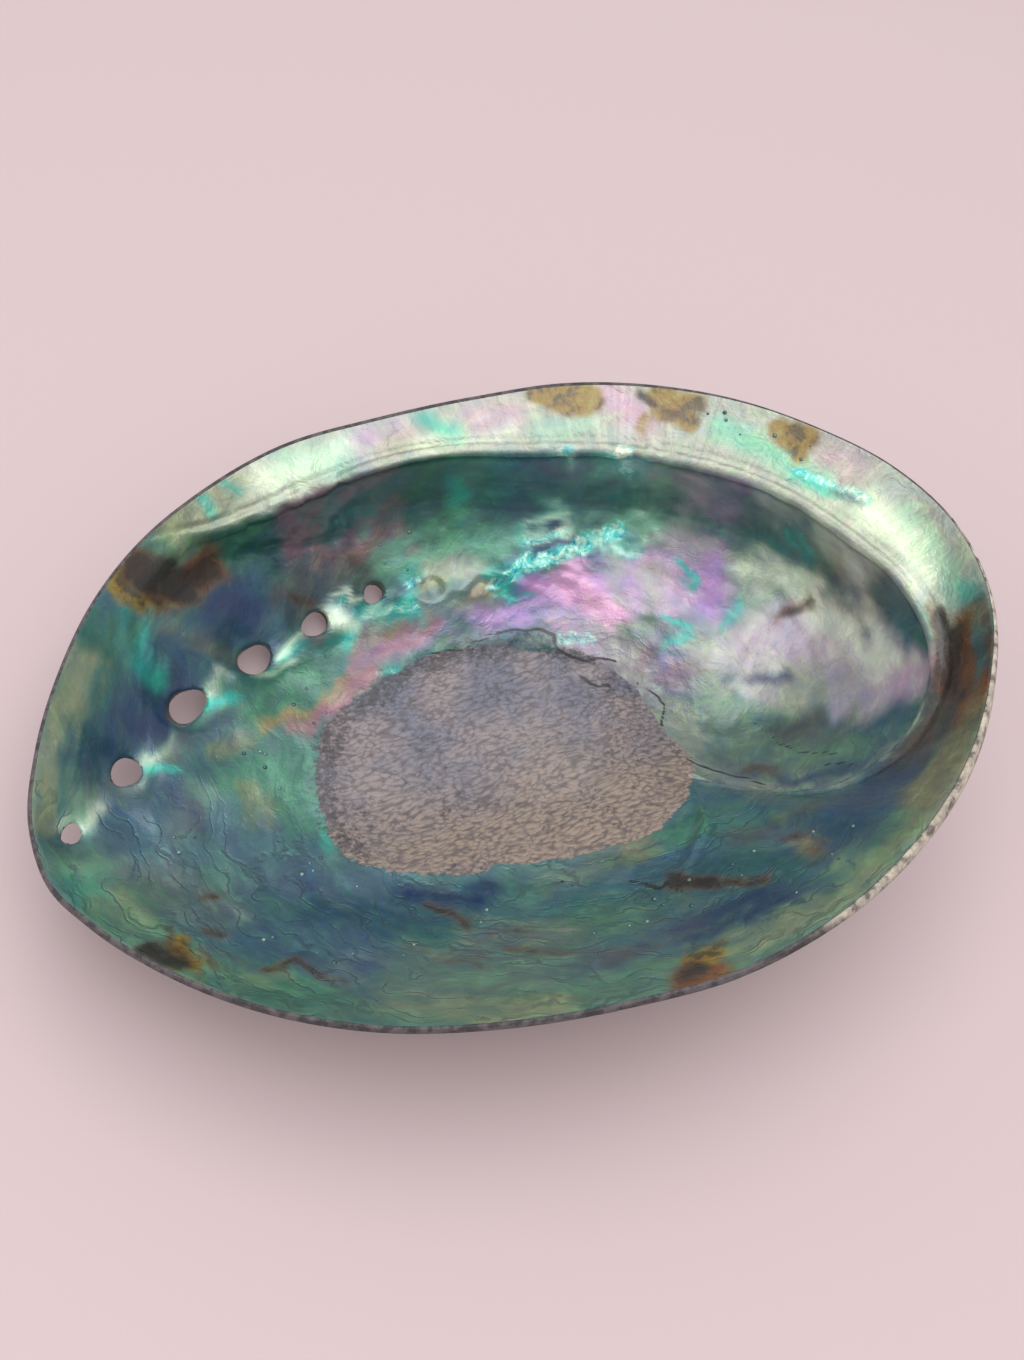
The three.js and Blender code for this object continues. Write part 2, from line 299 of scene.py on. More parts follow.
def path_distance(x: np.ndarray, y: np.ndarray, path: Sequence[tuple[float, float]]
                  ) -> np.ndarray:
    """Distance in plan from points to a path."""
    away = np.full(np.shape(x), np.inf)
    for a, b in zip(path, path[1:]):
        away = np.minimum(away, segment_distance(x, y, a, b))
    return away


# ---- markings ----------------------------------------------------------------------------

@dataclass(frozen=True)
class Stroke:
    """A marking on the nacre: a rounded stroke from a to b in plan, mm, with its half width."""

    a: tuple[float, float]
    b: tuple[float, float]
    half: float
    strength: float = 1.0


@dataclass(frozen=True)
class Marking:
    """One kind of marking: its strokes, how soft their edges are and how ragged."""

    name: str
    soft: float
    ragged: float
    strokes: Sequence[Stroke]

    def field(self, x: np.ndarray, y: np.ndarray, warp: tuple[np.ndarray, np.ndarray]
              ) -> np.ndarray:
        """How strongly each point is marked, 0 to 1.

        Args:
            x: Plan x of the points.
            y: Plan y of the points.
            warp: Random shifts in x and y, about -1 to 1, that make the edges ragged.

        Returns:
            One value per point, 0.5 on a stroke's edge.
        """
        wx, wy = x + warp[0] * self.ragged, y + warp[1] * self.ragged
        mark = np.zeros(np.shape(x))
        for s in self.strokes:
            inside = s.half - segment_distance(wx, wy, s.a, s.b)
            mark = np.maximum(mark, s.strength * smooth(inside, -self.soft, self.soft))
        return mark


class Tint(Enum):
    """The colours of the nacre, each as everyday 0 to 255 values; the near-white one is painted highlight,
    and the ledge's silver and the cyan are partly painted light.
    """

    TEAL = (96, 134, 137)
    SLATE = (87, 118, 142)
    DEEP = (52, 91, 114)
    NAVY = (56, 72, 116)
    DARK_GREEN = (44, 109, 88)
    GREEN = (74, 136, 118)
    LEAF = (121, 156, 134)
    AQUA = (40, 190, 180)
    MINT = (150, 214, 190)
    # painted highlight: a near-white laid where glare falls on the ledge and on the lit side of the pores
    GLARE_HIGHLIGHT = (232, 240, 222)
    CREAM = (172, 172, 142)
    SAND = (164, 144, 104)
    ORANGE = (156, 88, 30)
    MIST = (176, 180, 170)
    PEARL = (206, 192, 204)
    GREY = (134, 141, 136)
    DUSK = (106, 101, 99)
    LILAC = (186, 156, 200)
    PINK = (222, 180, 206)
    ROSE = (170, 124, 138)
    # pale base of the ledge: partly its own pale nacre, partly a painted reflection that brightens it
    SILVER_SHEEN = (192, 194, 184)


@dataclass(frozen=True)
class Patch:
    """Soft patches of one tint: paths of plan points, mm, with their half width and strength."""

    tint: Tint
    paths: Sequence[tuple[Sequence[tuple[float, float]], float, float]]

    def cover(self, x: np.ndarray, y: np.ndarray) -> np.ndarray:
        """How much of the tint covers each plan position, 0 to 1."""
        cover = np.zeros(np.shape(x))
        for path, half, strength in self.paths:
            away = path_distance(x, y, path)
            soft = min(0.9 * half + 0.4, 3.5)
            cover = np.maximum(cover, strength * smooth(half - away, -soft, soft))
        return cover


# tints of the bowl, laid on in this order
BOWL_TINTS = (
    Patch(Tint.LEAF, (
        (((-86, -6), (-78, -22), (-66, -38), (-44, -51)), 4.5, 0.75),
        (((-44, -51), (-20, -59), (0, -61), (30, -60), (50, -55)), 5, 0.9),
        (((-84, -8), (-76, -22)), 4, 0.6), (((-50, 28), (-36, 30)), 6, 0.5),
        (((-40, -42), (-22, -52)), 5, 0.6))),
    Patch(Tint.GREEN, (
        (((-58, 52), (-46, 56), (-36, 57)), 3.5, 0.9), (((-84, 8), (-77, 26), (-69, 39)), 3.4, 0.9),
        (((-52, 30), (-36, 33), (-28, 36)), 4, 0.7), (((-56, 12), (-46, 10), (-48, -2)), 6, 0.7),
        (((-45, 25), (-36, 28)), 4, 0.8), (((-8, -43), (8, -45)), 5, 0.9),
        (((8, -28), (30, -32)), 4, 0.6), (((-3, 53), (14, 52)), 3, 1),
        (((-60, -38), (-50, -44)), 4, 0.6), (((-36, -34), (-24, -38)), 4, 0.5))),
    Patch(Tint.DARK_GREEN, (
        (((-46, 53), (-20, 56), (6, 55)), 2.6, 0.6), (((28, 49), (46, 41), (58, 31)), 3.4, 0.35),
        (((-80, 22), (-72, 36)), 2, 0.6), (((16, -44), (34, -46)), 3, 0.5))),
    Patch(Tint.SLATE, (
        (((-74, 4), (-68, -4)), 5, 0.6), (((-66, -22), (-54, -28), (-46, -34)), 7, 0.8),
        (((-60, 2), (-48, -10)), 5, 0.7), (((-50, -14), (-36, -22)), 5, 0.7),
        (((38, -44), (52, -42), (66, -37)), 5, 0.9), (((8, -36), (20, -36)), 3, 0.6),
        (((46, -24), (50, -27)), 2.4, 0.7), (((-8, -50), (6, -54)), 3, 0.6),
        (((-34, -42), (-22, -46)), 2.4, 0.4))),
    Patch(Tint.DEEP, (
        (((-78, 14), (-68, 27), (-54, 37), (-44, 43)), 4.6, 0.95),
        (((-52, 44), (-38, 48), (-28, 52)), 4, 0.85), (((-86, -2), (-80, 3)), 2, 0.5),
        (((-48, -21), (-38, -27), (-30, -30)), 4, 0.7), (((14, 53), (34, 47)), 2.8, 0.45),
        (((26, -50), (44, -48)), 3.4, 0.7), (((-66, 6), (-64, 0)), 3, 0.6),
        (((62, -24), (70, -22)), 4, 0.5), (((8, -50), (30, -54)), 4, 0.7),
        (((-80, 0), (-70, 9)), 4, 0.6), (((-62, 12), (-52, 19)), 3.4, 0.6),
        (((-60, 34), (-50, 38)), 3, 0.8), (((8, -40), (28, -42)), 3, 0.5))),
    Patch(Tint.NAVY, (
        (((-70, 22), (-60, 31)), 2.6, 0.8), (((-50, 45), (-42, 46)), 2.2, 0.8),
        (((-31, -23), (-20, -29)), 2.2, 0.95), (((9, -54), (26, -54)), 3, 0.85),
        (((-10, -50), (0, -53)), 1.6, 0.8), (((-68, 9), (-65, 3)), 2.4, 0.6),
        (((48, -42), (60, -40)), 2.4, 0.4), (((46, -27), (58, -31)), 1.6, 0.5),
        (((-60, -14), (-48, -16)), 2, 0.4), (((16, 52), (24, 51)), 1.6, 0.4))),
    Patch(Tint.GREY, (
        (((-75, -10), (-66, -20)), 5, 0.55), (((-24, -38), (-10, -42)), 3.4, 0.8),
        (((-4, -31), (12, -29)), 4, 0.6), (((28, 12), (34, -2), (34, -16), (42, -27)), 4, 0.8),
        (((36, -37), (42, -36)), 2, 0.5), (((-70, 0), (-62, 8)), 3, 0.4),
        (((40, -16), (50, -22), (62, -18)), 6, 0.7), (((-3, 31), (3, 31)), 3, 0.5),
        (((-32, 40), (-22, 50)), 2, 0.4), (((14, 28), (24, 18)), 3, 0.6))),
    Patch(Tint.DUSK, (
        (((-36, 48), (-22, 52), (-12, 55)), 2.4, 0.7), (((28, -37), (44, -37)), 1.8, 0.6),
        (((53, -13), (60, -14)), 3, 0.7), (((62, -37), (72, -32), (77, -25)), 3, 0.9),
        (((42, 0), (44, -6)), 1.4, 0.5), (((43, -20), (46, -22)), 1.8, 0.8),
        (((-36, -37), (-26, -43)), 1.4, 0.7), (((-20, -43), (-10, -50)), 1.6, 0.6),
        (((60, 29), (74, 10), (77, -4)), 2.4, 0.7), (((-28, -27), (-22, -34)), 1.2, 0.5),
        (((-70, 15), (-62, 20)), 1.6, 0.5), (((-6, -53), (2, -54)), 1.2, 0.6))),
    Patch(Tint.LILAC, (
        (((5, 36), (14, 33)), 3.4, 1), (((20, 36), (32, 33), (40, 26)), 6, 1),
        (((57, 30), (54, 18)), 4, 1), (((28, 16), (42, 8)), 4, 0.7),
        (((70, 2), (70, -8)), 4, 0.8), (((42, 38), (54, 33)), 2.6, 0.8),
        (((-18, 35), (-4, 36)), 2.6, 0.8), (((44, 14), (56, 22)), 4, 0.4))),
    Patch(Tint.PINK, (
        (((26, 36), (34, 24)), 5, 0.9), (((71, -2), (74, -12), (75, -20)), 4, 0.9),
        (((44, 34), (50, 26)), 4, 0.7), (((20, 27), (26, 22)), 3, 0.6),
        (((46, 10), (56, 9)), 2, 0.6), (((20, 38), (30, 38)), 2, 0.7))),
    Patch(Tint.MIST, (
        (((40, 22), (44, 32)), 3, 0.7), (((48, 15), (62, 12)), 4, 0.8),
        (((50, 8), (60, -2), (68, -8)), 7.5, 1), (((66, 12), (72, 2), (73, -12)), 4, 0.7),
        (((30, 16), (34, 6), (36, -6)), 5, 0.75), (((46, 40), (58, 31)), 2.4, 0.5),
        (((-2, 50), (8, 46), (8, 41)), 3, 0.9),
        (((-22, 40), (-12, 39), (4, 40)), 2.6, 0.7), (((60, 22), (64, 16)), 2.4, 0.6),
        (((38, 38), (36, 30)), 2, 0.6), (((-80, 8), (-76, 12)), 2.6, 0.5),
        (((30, 24), (38, 16)), 2, 0.4))),
    Patch(Tint.LEAF, (
        (((46, 0), (46, -12)), 4.6, 0.8), (((34, 21), (40, 23)), 2, 0.7),
        (((52, -20), (60, -26)), 4, 0.5), (((46, 6), (52, 2)), 3, 0.5))),
    Patch(Tint.MIST, (
        (((77.5, -17), (74, -25), (68, -30.6), (60, -33.6), (52, -32.8)), 0.6, 0.8),
        (((52, -32.8), (44, -28), (36, -20), (32, -10), (31, 2)), 1.6, 0.6))),
    Patch(Tint.ORANGE, (
        (((83.6, -20), (80.6, -26), (76.6, -31.4), (70.6, -38)), 1.5, 1),
        (((-51, 49.6), (-45, 51)), 1.5, 0.9), (((2, -63.5), (8, -62.5)), 2, 0.95),
        (((66, 11), (71, 9.5)), 1.6, 0.8), (((-70, -29), (-69, -33)), 1, 0.5))),
    Patch(Tint.SAND, (
        (((-46, 21), (-36, 23), (-26, 31)), 1.3, 0.9), (((-24, 36), (-12, 39)), 1.4, 0.6),
        (((5, 41), (14, 43)), 2, 0.7), (((-52.5, 0), (-52, 8)), 1.4, 0.5),
        (((-56, 16), (-50, 19)), 1.6, 0.4), (((10, -30), (14, -31)), 2, 0.4),
        (((56, -48), (66, -43), (74, -37)), 2.4, 0.7), (((-56, 40), (-48, 38)), 2, 0.3),
        (((36, -48), (39, -45)), 1.6, 0.6), (((24, 42), (32, 43)), 1.4, 0.5))),
    Patch(Tint.ROSE, (
        (((-40, 19), (-30, 24), (-24, 31)), 1.8, 0.95), (((-24, 33), (-14, 35), (-5, 37)), 2.2, 0.8),
        (((-30, 55), (-6, 56)), 1.6, 0.7), (((34, 14), (38, 18)), 2, 0.5),
        (((38, 8), (46, 9)), 1.8, 0.5), (((-34, 38), (-30, 41)), 1.4, 0.6),
        (((24, 44.5), (25, 43)), 0.9, 0.8), (((56, -51), (62, -48)), 1.8, 0.5),
        (((72, 10), (76, 0)), 2, 0.5))),
    Patch(Tint.CREAM, (
        (((-88, 2), (-84, 16), (-74, 34)), 1.5, 0.8), (((-42, -49), (-32, -54)), 2, 0.6),
        (((-30, -57), (-18, -60)), 2.6, 0.7), (((14, -61), (34, -60)), 2.2, 0.8),
        (((40, -58), (54, -53), (66, -45)), 2.6, 0.8), (((-62, -36), (-58, -38)), 1.6, 0.4),
        (((-81, -13), (-78, -20)), 1.4, 0.5), (((-52, 55), (-42, 60)), 2.6, 0.8))),
    # cyan nacre; the strokes on the lit side of each pore and along the old pore row are partly painted
    # highlight
    Patch(Tint.AQUA, (
        (((-19, 44), (-9, 42), (-6, 50)), 2.2, 0.8), (((-26, 38), (-21, 41)), 1.6, 0.9),
        (((-40, 38.5), (-33, 39)), 1.6, 0.7), (((-56, 27.5), (-50, 28.5)), 1.1, 0.95),
        (((-71, 14), (-66, 14.5)), 0.9, 0.9), (((10, 46), (16, 46)), 1.2, 0.9),
        (((12, 39), (18, 44), (26, 44), (36, 43), (42, 39)), 1.8, 0.8),
        (((50, 31.5), (52, 26.5)), 0.9, 1), (((44, 22.5), (46, 19)), 1.2, 0.95),
        (((41, 17), (46, 16.5)), 0.9, 0.8), (((55, 15), (59, 18)), 1, 0.7),
        (((16, 37), (18, 36)), 0.7, 0.7), (((3.5, 63), (8, 58)), 1.8, 0.7),
        (((-66, 33), (-63, 40)), 2, 0.6), (((-44.4, 59.6), (-43.6, 57.4)), 0.8, 0.9),
        (((-39, 61.4), (-37, 59.8)), 0.8, 0.7), (((-20, 28.5), (-15, 28.5)), 0.9, 0.6),
        (((-42, 2), (-42, -8)), 0.9, 0.5), (((70, 25), (74, 18), (79, 13)), 0.9, 0.8),
        (((-86, -9), (-84, -13)), 2, 0.3), (((20, 49), (28, 48)), 1.4, 0.6))),
    Patch(Tint.CREAM, ((((-4, 46.5), (-1, 46)), 2.2, 0.9),)),
    Patch(Tint.PEARL, ((((60, 10), (69, 2), (73, -9), (70, -18)), 5, 0.8), (((52, 8), (56, 0)), 5, 0.4),
                       (((22, 20), (29, 14), (31, 6)), 3, 0.45))),
    Patch(Tint.GREY, ((((44, 6), (46, -12)), 4.6, 0.45), (((-45, -40), (-20, -48), (10, -47)), 7, 0.4))),
    Patch(Tint.MINT, ((((-12, 53), (8, 53), (30, 47.5), (48, 40)), 1.8, 0.45),)),
    Patch(Tint.NAVY, (
        (((22, 46), (31, 45)), 1.3, 0.9), (((-9, 48.6), (-5, 48.4)), 0.8, 0.7),
        (((-60, 20), (-52, 24)), 1.6, 0.4), (((45, -26), (49, -29)), 1.2, 0.5),
        (((57, 1.5), (60, -1)), 1.4, 0.7))),
    # painted highlight: near-white glare on the lit side of each pore, along the old pore row and on the
    # ledge's right side
    Patch(Tint.GLARE_HIGHLIGHT, (
        (((62, 25), (70, 14), (74, 2), (75, -14)), 2.6, 0.7), (((-26, 44), (-21, 41)), 1.8, 0.8),
        (((-41, 39.6), (-32, 42)), 1.2, 0.7),
        (((-55.5, 29.5), (-50, 34)), 1, 0.55), (((-71.5, 15.5), (-64, 21)), 0.9, 0.4),
        (((-84, 2.5), (-79, 7)), 1.2, 0.6), (((-14, 44.5), (-18, 42.5)), 1.2, 0.7),
        (((-24, 47), (-19, 48.4)), 0.8, 0.8), (((-40, 36), (-36, 36)), 0.9, 0.6),
        (((36, 41.5), (42, 39)), 1, 0.6), (((22, 49), (30, 47)), 0.8, 0.6),
        (((-45, 33), (-43, 35)), 0.7, 0.5))),
)
# tints of the ledge, laid on over its silver base; that base is partly the ledge's pale nacre and partly
# painted reflection
LEDGE_TINTS = (
    Patch(Tint.CREAM, ((((-60, 52), (-48, 57), (-38, 60)), 4, 0.8), (((-4, 60), (4, 61)), 3, 0.3))),
    Patch(Tint.PINK, ((((42, 55), (46, 48)), 3.4, 0.5), (((14, 60), (22, 58)), 3, 0.35),
                      (((76, 25), (80, 20)), 3, 0.35), (((-10, 62), (-2, 62)), 3, 0.3))),
    Patch(Tint.MINT, ((((60, 40), (68, 30), (74, 20)), 2, 0.7), (((84, 6), (86, -14)), 2, 0.5),
                      (((-26, 63), (-16, 60)), 3, 0.4), (((26, 53), (34, 51)), 2.4, 0.3),
                      (((78, -12), (80, -18)), 1.6, 0.4))),
    Patch(Tint.AQUA, ((((3.5, 63), (8, 58)), 1.8, 0.7), (((-44.4, 59.6), (-43.6, 57.4)), 0.9, 0.9),
                      (((-39, 61.4), (-37, 59.8)), 0.8, 0.7), (((70, 25), (74, 18)), 0.8, 0.8),
                      (((75, 17), (79, 14)), 0.9, 0.6), (((86.5, -12), (86, -18)), 0.8, 0.6))),
    # painted highlight: near-white glare on the ledge
    Patch(Tint.GLARE_HIGHLIGHT, ((((80, 12), (82, 4), (83, -6)), 2.6, 0.9), (((-32, 60), (-14, 62)), 2.6, 0.5),
                     (((82, -14), (83, -20)), 1.6, 0.6), (((0, 58), (20, 55)), 1.4, 0.4))),
    Patch(Tint.DEEP, ((((75, 17.5), (79, 13)), 0.7, 0.7),)),
    Patch(Tint.ORANGE, ((((84.6, -18), (82, -24.4), (79, -29)), 1.5, 1),)),
)


def laid_on(base: Tint, layers: Sequence[Patch], x: np.ndarray, y: np.ndarray) -> np.ndarray:
    """The colour that tinted patches give each plan position.

    Args:
        base: The tint under the patches.
        layers: The patches, in the order in which they are laid on.
        x: Plan x of the points.
        y: Plan y of the points.

    Returns:
        One colour per point, as the shader takes it.
    """
    colour = np.tile(np.array(tint(*base.value)), (len(x), 1))
    for layer in layers:
        colour += (np.array(tint(*layer.tint.value)) - colour) * layer.cover(x, y)[:, None]
    return colour


MARKINGS = (
    Marking("brown", 1.7, 1.3, (
        Stroke((-60, 48), (-54, 48.5), 3.2), Stroke((-56, 48.5), (-46, 50.8), 1.9),
        Stroke((-60, 50), (-58, 45), 1.6, 0.9),
        Stroke((48, 53), (50, 49.5), 1.2), Stroke((51, 47), (53, 46), 1.4, 0.7),
        Stroke((81.3, -14), (81.3, -19), 1.9), Stroke((81.3, -19), (78.4, -25), 2.6),
        Stroke((78, -26), (74, -32), 1.7, 0.9),
        Stroke((2.5, -63), (6, -62), 2.2, 0.9),
        Stroke((-76, -27), (-72.5, -30), 2.2), Stroke((-73, -22), (-73, -26), 0.8, 0.7),
        Stroke((14, -41), (19, -45), 2), Stroke((18, -45), (27, -49), 1.2),
        Stroke((36, -42.5), (41, -42), 1), Stroke((37, -48), (38.5, -46), 0.9, 0.6),
        Stroke((-60, -35), (-57, -35.5), 0.7), Stroke((-57, -35.5), (-54, -33.5), 0.8),
        Stroke((-54, -33.5), (-50.5, -39), 0.8), Stroke((-50.5, -39), (-48, -41), 1, 0.7),
        Stroke((-67, -15), (-64.5, -15.5), 0.8), Stroke((-68, -23.5), (-65, -25), 0.8),
        Stroke((-30, -27), (-27, -30), 0.7), Stroke((-27, -30), (-24, -35), 0.7),
        Stroke((-21, -38.5), (-14, -41), 0.7, 0.7), Stroke((-20, -43), (-11, -49.5), 0.7, 0.7),
        Stroke((-33, -41), (-25, -45), 0.7, 0.7), Stroke((-66, -29), (-62, -33), 0.6, 0.6),
        Stroke((66.5, 11), (71, 9.5), 1.4, 0.9), Stroke((-18.5, 54), (-17, 54.4), 0.8, 0.8),
        Stroke((42.5, -19.5), (46, -21.5), 1, 0.6), Stroke((-31, 41.5), (-29, 40), 0.9, 0.5),
        Stroke((-14.2, -4.6), (-13.4, -5), 0.6, 0.9), Stroke((64, -36.5), (72, -31.5), 1.4, 0.6),
        Stroke((-33, 48.4), (-28.6, 47.6), 1, 0.7))),
    Marking("amber", 1.9, 1.6, (
        Stroke((-65, 46), (-61, 50), 2.4), Stroke((-64, 43.5), (-56, 45.5), 1.6, 0.8),
        Stroke((28.5, 60), (38, 56), 2.8), Stroke((33, 56), (35, 54.5), 2),
        Stroke((51, 51), (58, 46), 2.6), Stroke((50, 48), (55, 44), 2), Stroke((45, 46), (47, 48), 1),
        Stroke((71, 34), (74.5, 29.5), 2.6), Stroke((71, 32), (72, 28), 2),
        Stroke((80, -12), (80.4, -17), 1.2, 0.8),
        Stroke((7, -60.5), (11, -60), 2),
        Stroke((-72, -26), (-70.6, -31), 1.1),
        Stroke((37, -48), (39, -45.5), 1.2, 0.6), Stroke((-59, -35.5), (-54, -33.5), 1.1, 0.5),
        Stroke((26, -50), (29, -49), 0.8, 0.5))),
    # partly the nacre's bright flecks, partly painted glints where it catches the light: beside the pores,
    # along the old pore row and on the ledge
    Marking("sparkle_and_glint", 1.2, 1.2, (
        Stroke((10, 42), (20, 45), 2), Stroke((20, 44), (40, 42), 2.2), Stroke((20, 48), (30, 47), 1),
        Stroke((-19, 44), (-8, 43), 2, 0.8), Stroke((-8, 48.5), (-5, 48.5), 1.2),
        Stroke((19, 24), (25, 22), 2, 0.8), Stroke((70, 26), (80, 13), 1.1),
        Stroke((-22, 28.5), (-14, 28.5), 1, 0.7), Stroke((-41, 5), (-38, 12), 1, 0.6))),
)


# ---- the shell's mesh --------------------------------------------------------------------

@dataclass
class ShellBody:
    """The whole shell as one closed mesh, with the pores cut through it."""

    form: ShellForm
    rays: int = 440
    bowl_rings: int = 92
    wall_rings: int = 8
    nose_rings: int = 6
    shelf_rings: int = 16
    lip_rings: int = 6
    outer_rings: int = 60
    lean_x: float = 0.5
    lean_y: float = -8.05
    shift: tuple[float, float, float] = (-0.64, -0.034, 40.468)
    scar_middle: tuple[float, float] = (-4, 1)
    scar_edge: Pairs = (
        (-42, -3), (-38, 15), (-23, 26), (-4, 29), (12, 23), (29, 9), (31, -3), (33, -11),
        (26, -23), (0, -26), (-28, -19), (-39, -13))
    fringe_at: Pairs = ((-38, -12), (-41, -4), (-40, 5), (-37, 13), (-32, 19), (-24, 24), (-15, 27), (0, 28),
                        (12, 25), (22, 17))
    cracks: Sequence[tuple[Pairs, float]] = (
        (((8, 30), (14, 27), (17, 25), (17.5, 22), (21, 18.5), (27, 15.5)), 0.55),
        (((-8, 30), (-2, 28.5), (6, 30), (10, 29)), 0.4), (((20, 14), (21, 11), (24, 10)), 0.4),
        (((33, -12), (35, -17), (41, -22), (43, -26)), 0.35), (((50, -9), (53, -18), (57, -26)), 0.3),
        (((31, 9), (33, 3), (32, -2)), 0.35), (((-2, -33), (-5, -30)), 0.3),
        (((6, -37), (12, -40), (14, -44)), 0.35), (((54, -27), (57, -30)), 0.35))
    plug: tuple[float, float] = (-3, 46)

    def ray_angles(self) -> np.ndarray:
        """Angles of rays spaced evenly along the rim."""
        fine = np.linspace(0, TURN, 2881)
        x, y = self.form.plan(fine, self.form.curves["rim"](fine))
        length = np.concatenate([[0], np.cumsum(np.hypot(np.diff(x), np.diff(y)))])
        return np.interp(np.arange(self.rays) * length[-1] / self.rays, length, fine)

    def inner_rings(self, angle: np.ndarray) -> tuple[np.ndarray, np.ndarray]:
        """Rings of the inner face, from the middle of the bowl to the rim.

        Args:
            angle: The rays' angles.

        Returns:
            The rings' points, (rings, rays, 3), and how far each is onto the ledge, 0 to 1.
        """
        form, curve = self.form, self.form.curves
        rim, edge, top = curve["rim"](angle), curve["ledge"](angle), curve["ledge_top"](angle)
        edge = np.minimum(edge, rim - form.ledge_room)
        foot = edge + curve["undercut"](angle)
        foot_z = form.bowl_height(angle, foot)
        nose_r, nose_z, n = edge + form.ledge_nose, top - form.ledge_nose, form.ledge_nose
        share, rings, onto = curve["share"](angle), [], []

        def add(open_r: np.ndarray, r: np.ndarray, z: np.ndarray, ledge: float) -> None:
            """Blend a ring of the open bowl with one of the ledged bowl, and keep it."""
            mixed_r = open_r + (r - open_r) * share
            open_z = form.bowl_height(angle, open_r)
            x, y = form.plan(angle, mixed_r)
            rings.append(np.stack([x, y, open_z + (z - open_z) * share], axis=1))
            onto.append(np.clip(ledge * share, 0, 1))

        for t in np.arange(1, self.bowl_rings + 1) / self.bowl_rings:
            add((edge - 3) * t, foot * t, form.bowl_height(angle, foot * t), 0)
        for t in np.arange(1, self.wall_rings + 1) / self.wall_rings:
            add(edge - 3 + 3 * t, foot + (nose_r - 0.4 - foot) * t ** 1.6,
                foot_z + (nose_z - 1.05 - foot_z) * t, 0)
        for t in np.arange(1, self.nose_rings + 1) / self.nose_rings:
            turn = math.radians(-50 + 140 * t)
            add(edge + 3 * t, nose_r - n * math.cos(turn), nose_z + n * math.sin(turn), t)
        for t in np.arange(1, self.shelf_rings + 1) / self.shelf_rings:
            add(edge + 3 + (rim - edge - 3) * t, nose_r + (rim - nose_r) * t,
                top * (1 - t ** curve["sag"](angle)), 1)
        return np.array(rings), np.array(onto)

    def outer_ring(self, angle: np.ndarray, part: float) -> np.ndarray:
        """One ring of the outer face.

        Args:
            angle: The rays' angles.
            part: How far out the ring lies, 1 at the rim.

        Returns:
            The ring's points, one row each.
        """
        form, h = self.form, 0.5
        r = part * form.curves["rim"](angle)
        x, y = form.plan(angle, r)
        gx = (form.height_at(x + h, y) - form.height_at(x - h, y)) / (2 * h)
        gy = (form.height_at(x, y + h) - form.height_at(x, y - h)) / (2 * h)
        down = np.stack([gx, gy, -np.ones_like(gx)], axis=1)
        down /= np.linalg.norm(down, axis=1, keepdims=True)
        lip = form.curves["lip"](angle)
        body = form.body_wall + (lip - form.body_wall) * smooth(part, 0.72, 1)
        shoulder = (2 * smooth(np.cos(angle + 0.35), 0.6, 1) * smooth(part, 0.5, 0.8)
                    * (1 - smooth(part, 0.85, 1)))
        wall = body + shoulder + form.swelling(x, y) * (1 - smooth(part, 0.9, 1))
        return np.stack([x, y, form.height_at(x, y)], axis=1) + down * wall[:, None]

    def grid(self) -> tuple[np.ndarray, np.ndarray, np.ndarray]:
        """All rings of the shell, worked up with their fine relief.

        Returns:
            Points (rings, rays, 3); zone (rings, rays), 0 inside, 1 lip, 2 outside; and how far
            each point is onto the ledge.
        """
        angle = self.ray_angles()
        inner, onto = self.inner_rings(angle)
        parts = 1 - (np.arange(self.outer_rings) / self.outer_rings) ** 1.15
        outer = np.array([self.outer_ring(angle, part) for part in parts])
        inner = inner + ring_normals(inner) * self.inner_relief(inner, onto)[..., None]
        outer = outer + ring_normals(outer) * self.outer_relief(outer, parts)[..., None]
        start, end = inner[-1], outer[0]
        gap = np.linalg.norm(end - start, axis=1, keepdims=True)
        lip = []
        for t in np.arange(1, self.lip_rings + 1) / (self.lip_rings + 1):
            crown = start + (end - start) * t
            crown[:, 2:] += 0.34 * gap * math.sin(math.pi * t)
            lip.append(crown)
        points = np.concatenate([inner, np.array(lip), outer])
        zone = np.concatenate([np.zeros(inner.shape[:2]), np.ones((self.lip_rings, self.rays)),
                               np.full(outer.shape[:2], 2.0)])
        ledge = np.concatenate([onto, np.zeros(points.shape[:2])])[: len(points)]
        ledge[len(inner):] = 0
        return points, zone, ledge

    def scar_field(self, x: np.ndarray, y: np.ndarray) -> np.ndarray:
        """Distance inside the edge of the muscle scar, in mm; negative outside."""
        middle = self.scar_middle
        edge = ClosedCurve([math.atan2(ey - middle[1], ex - middle[0]) for ex, ey in self.scar_edge],
                           [math.hypot(ex - middle[0], ey - middle[1]) for ex, ey in self.scar_edge])
        dx, dy = x - middle[0], y - middle[1]
        return edge(np.arctan2(dy, dx)) - np.hypot(dx, dy)

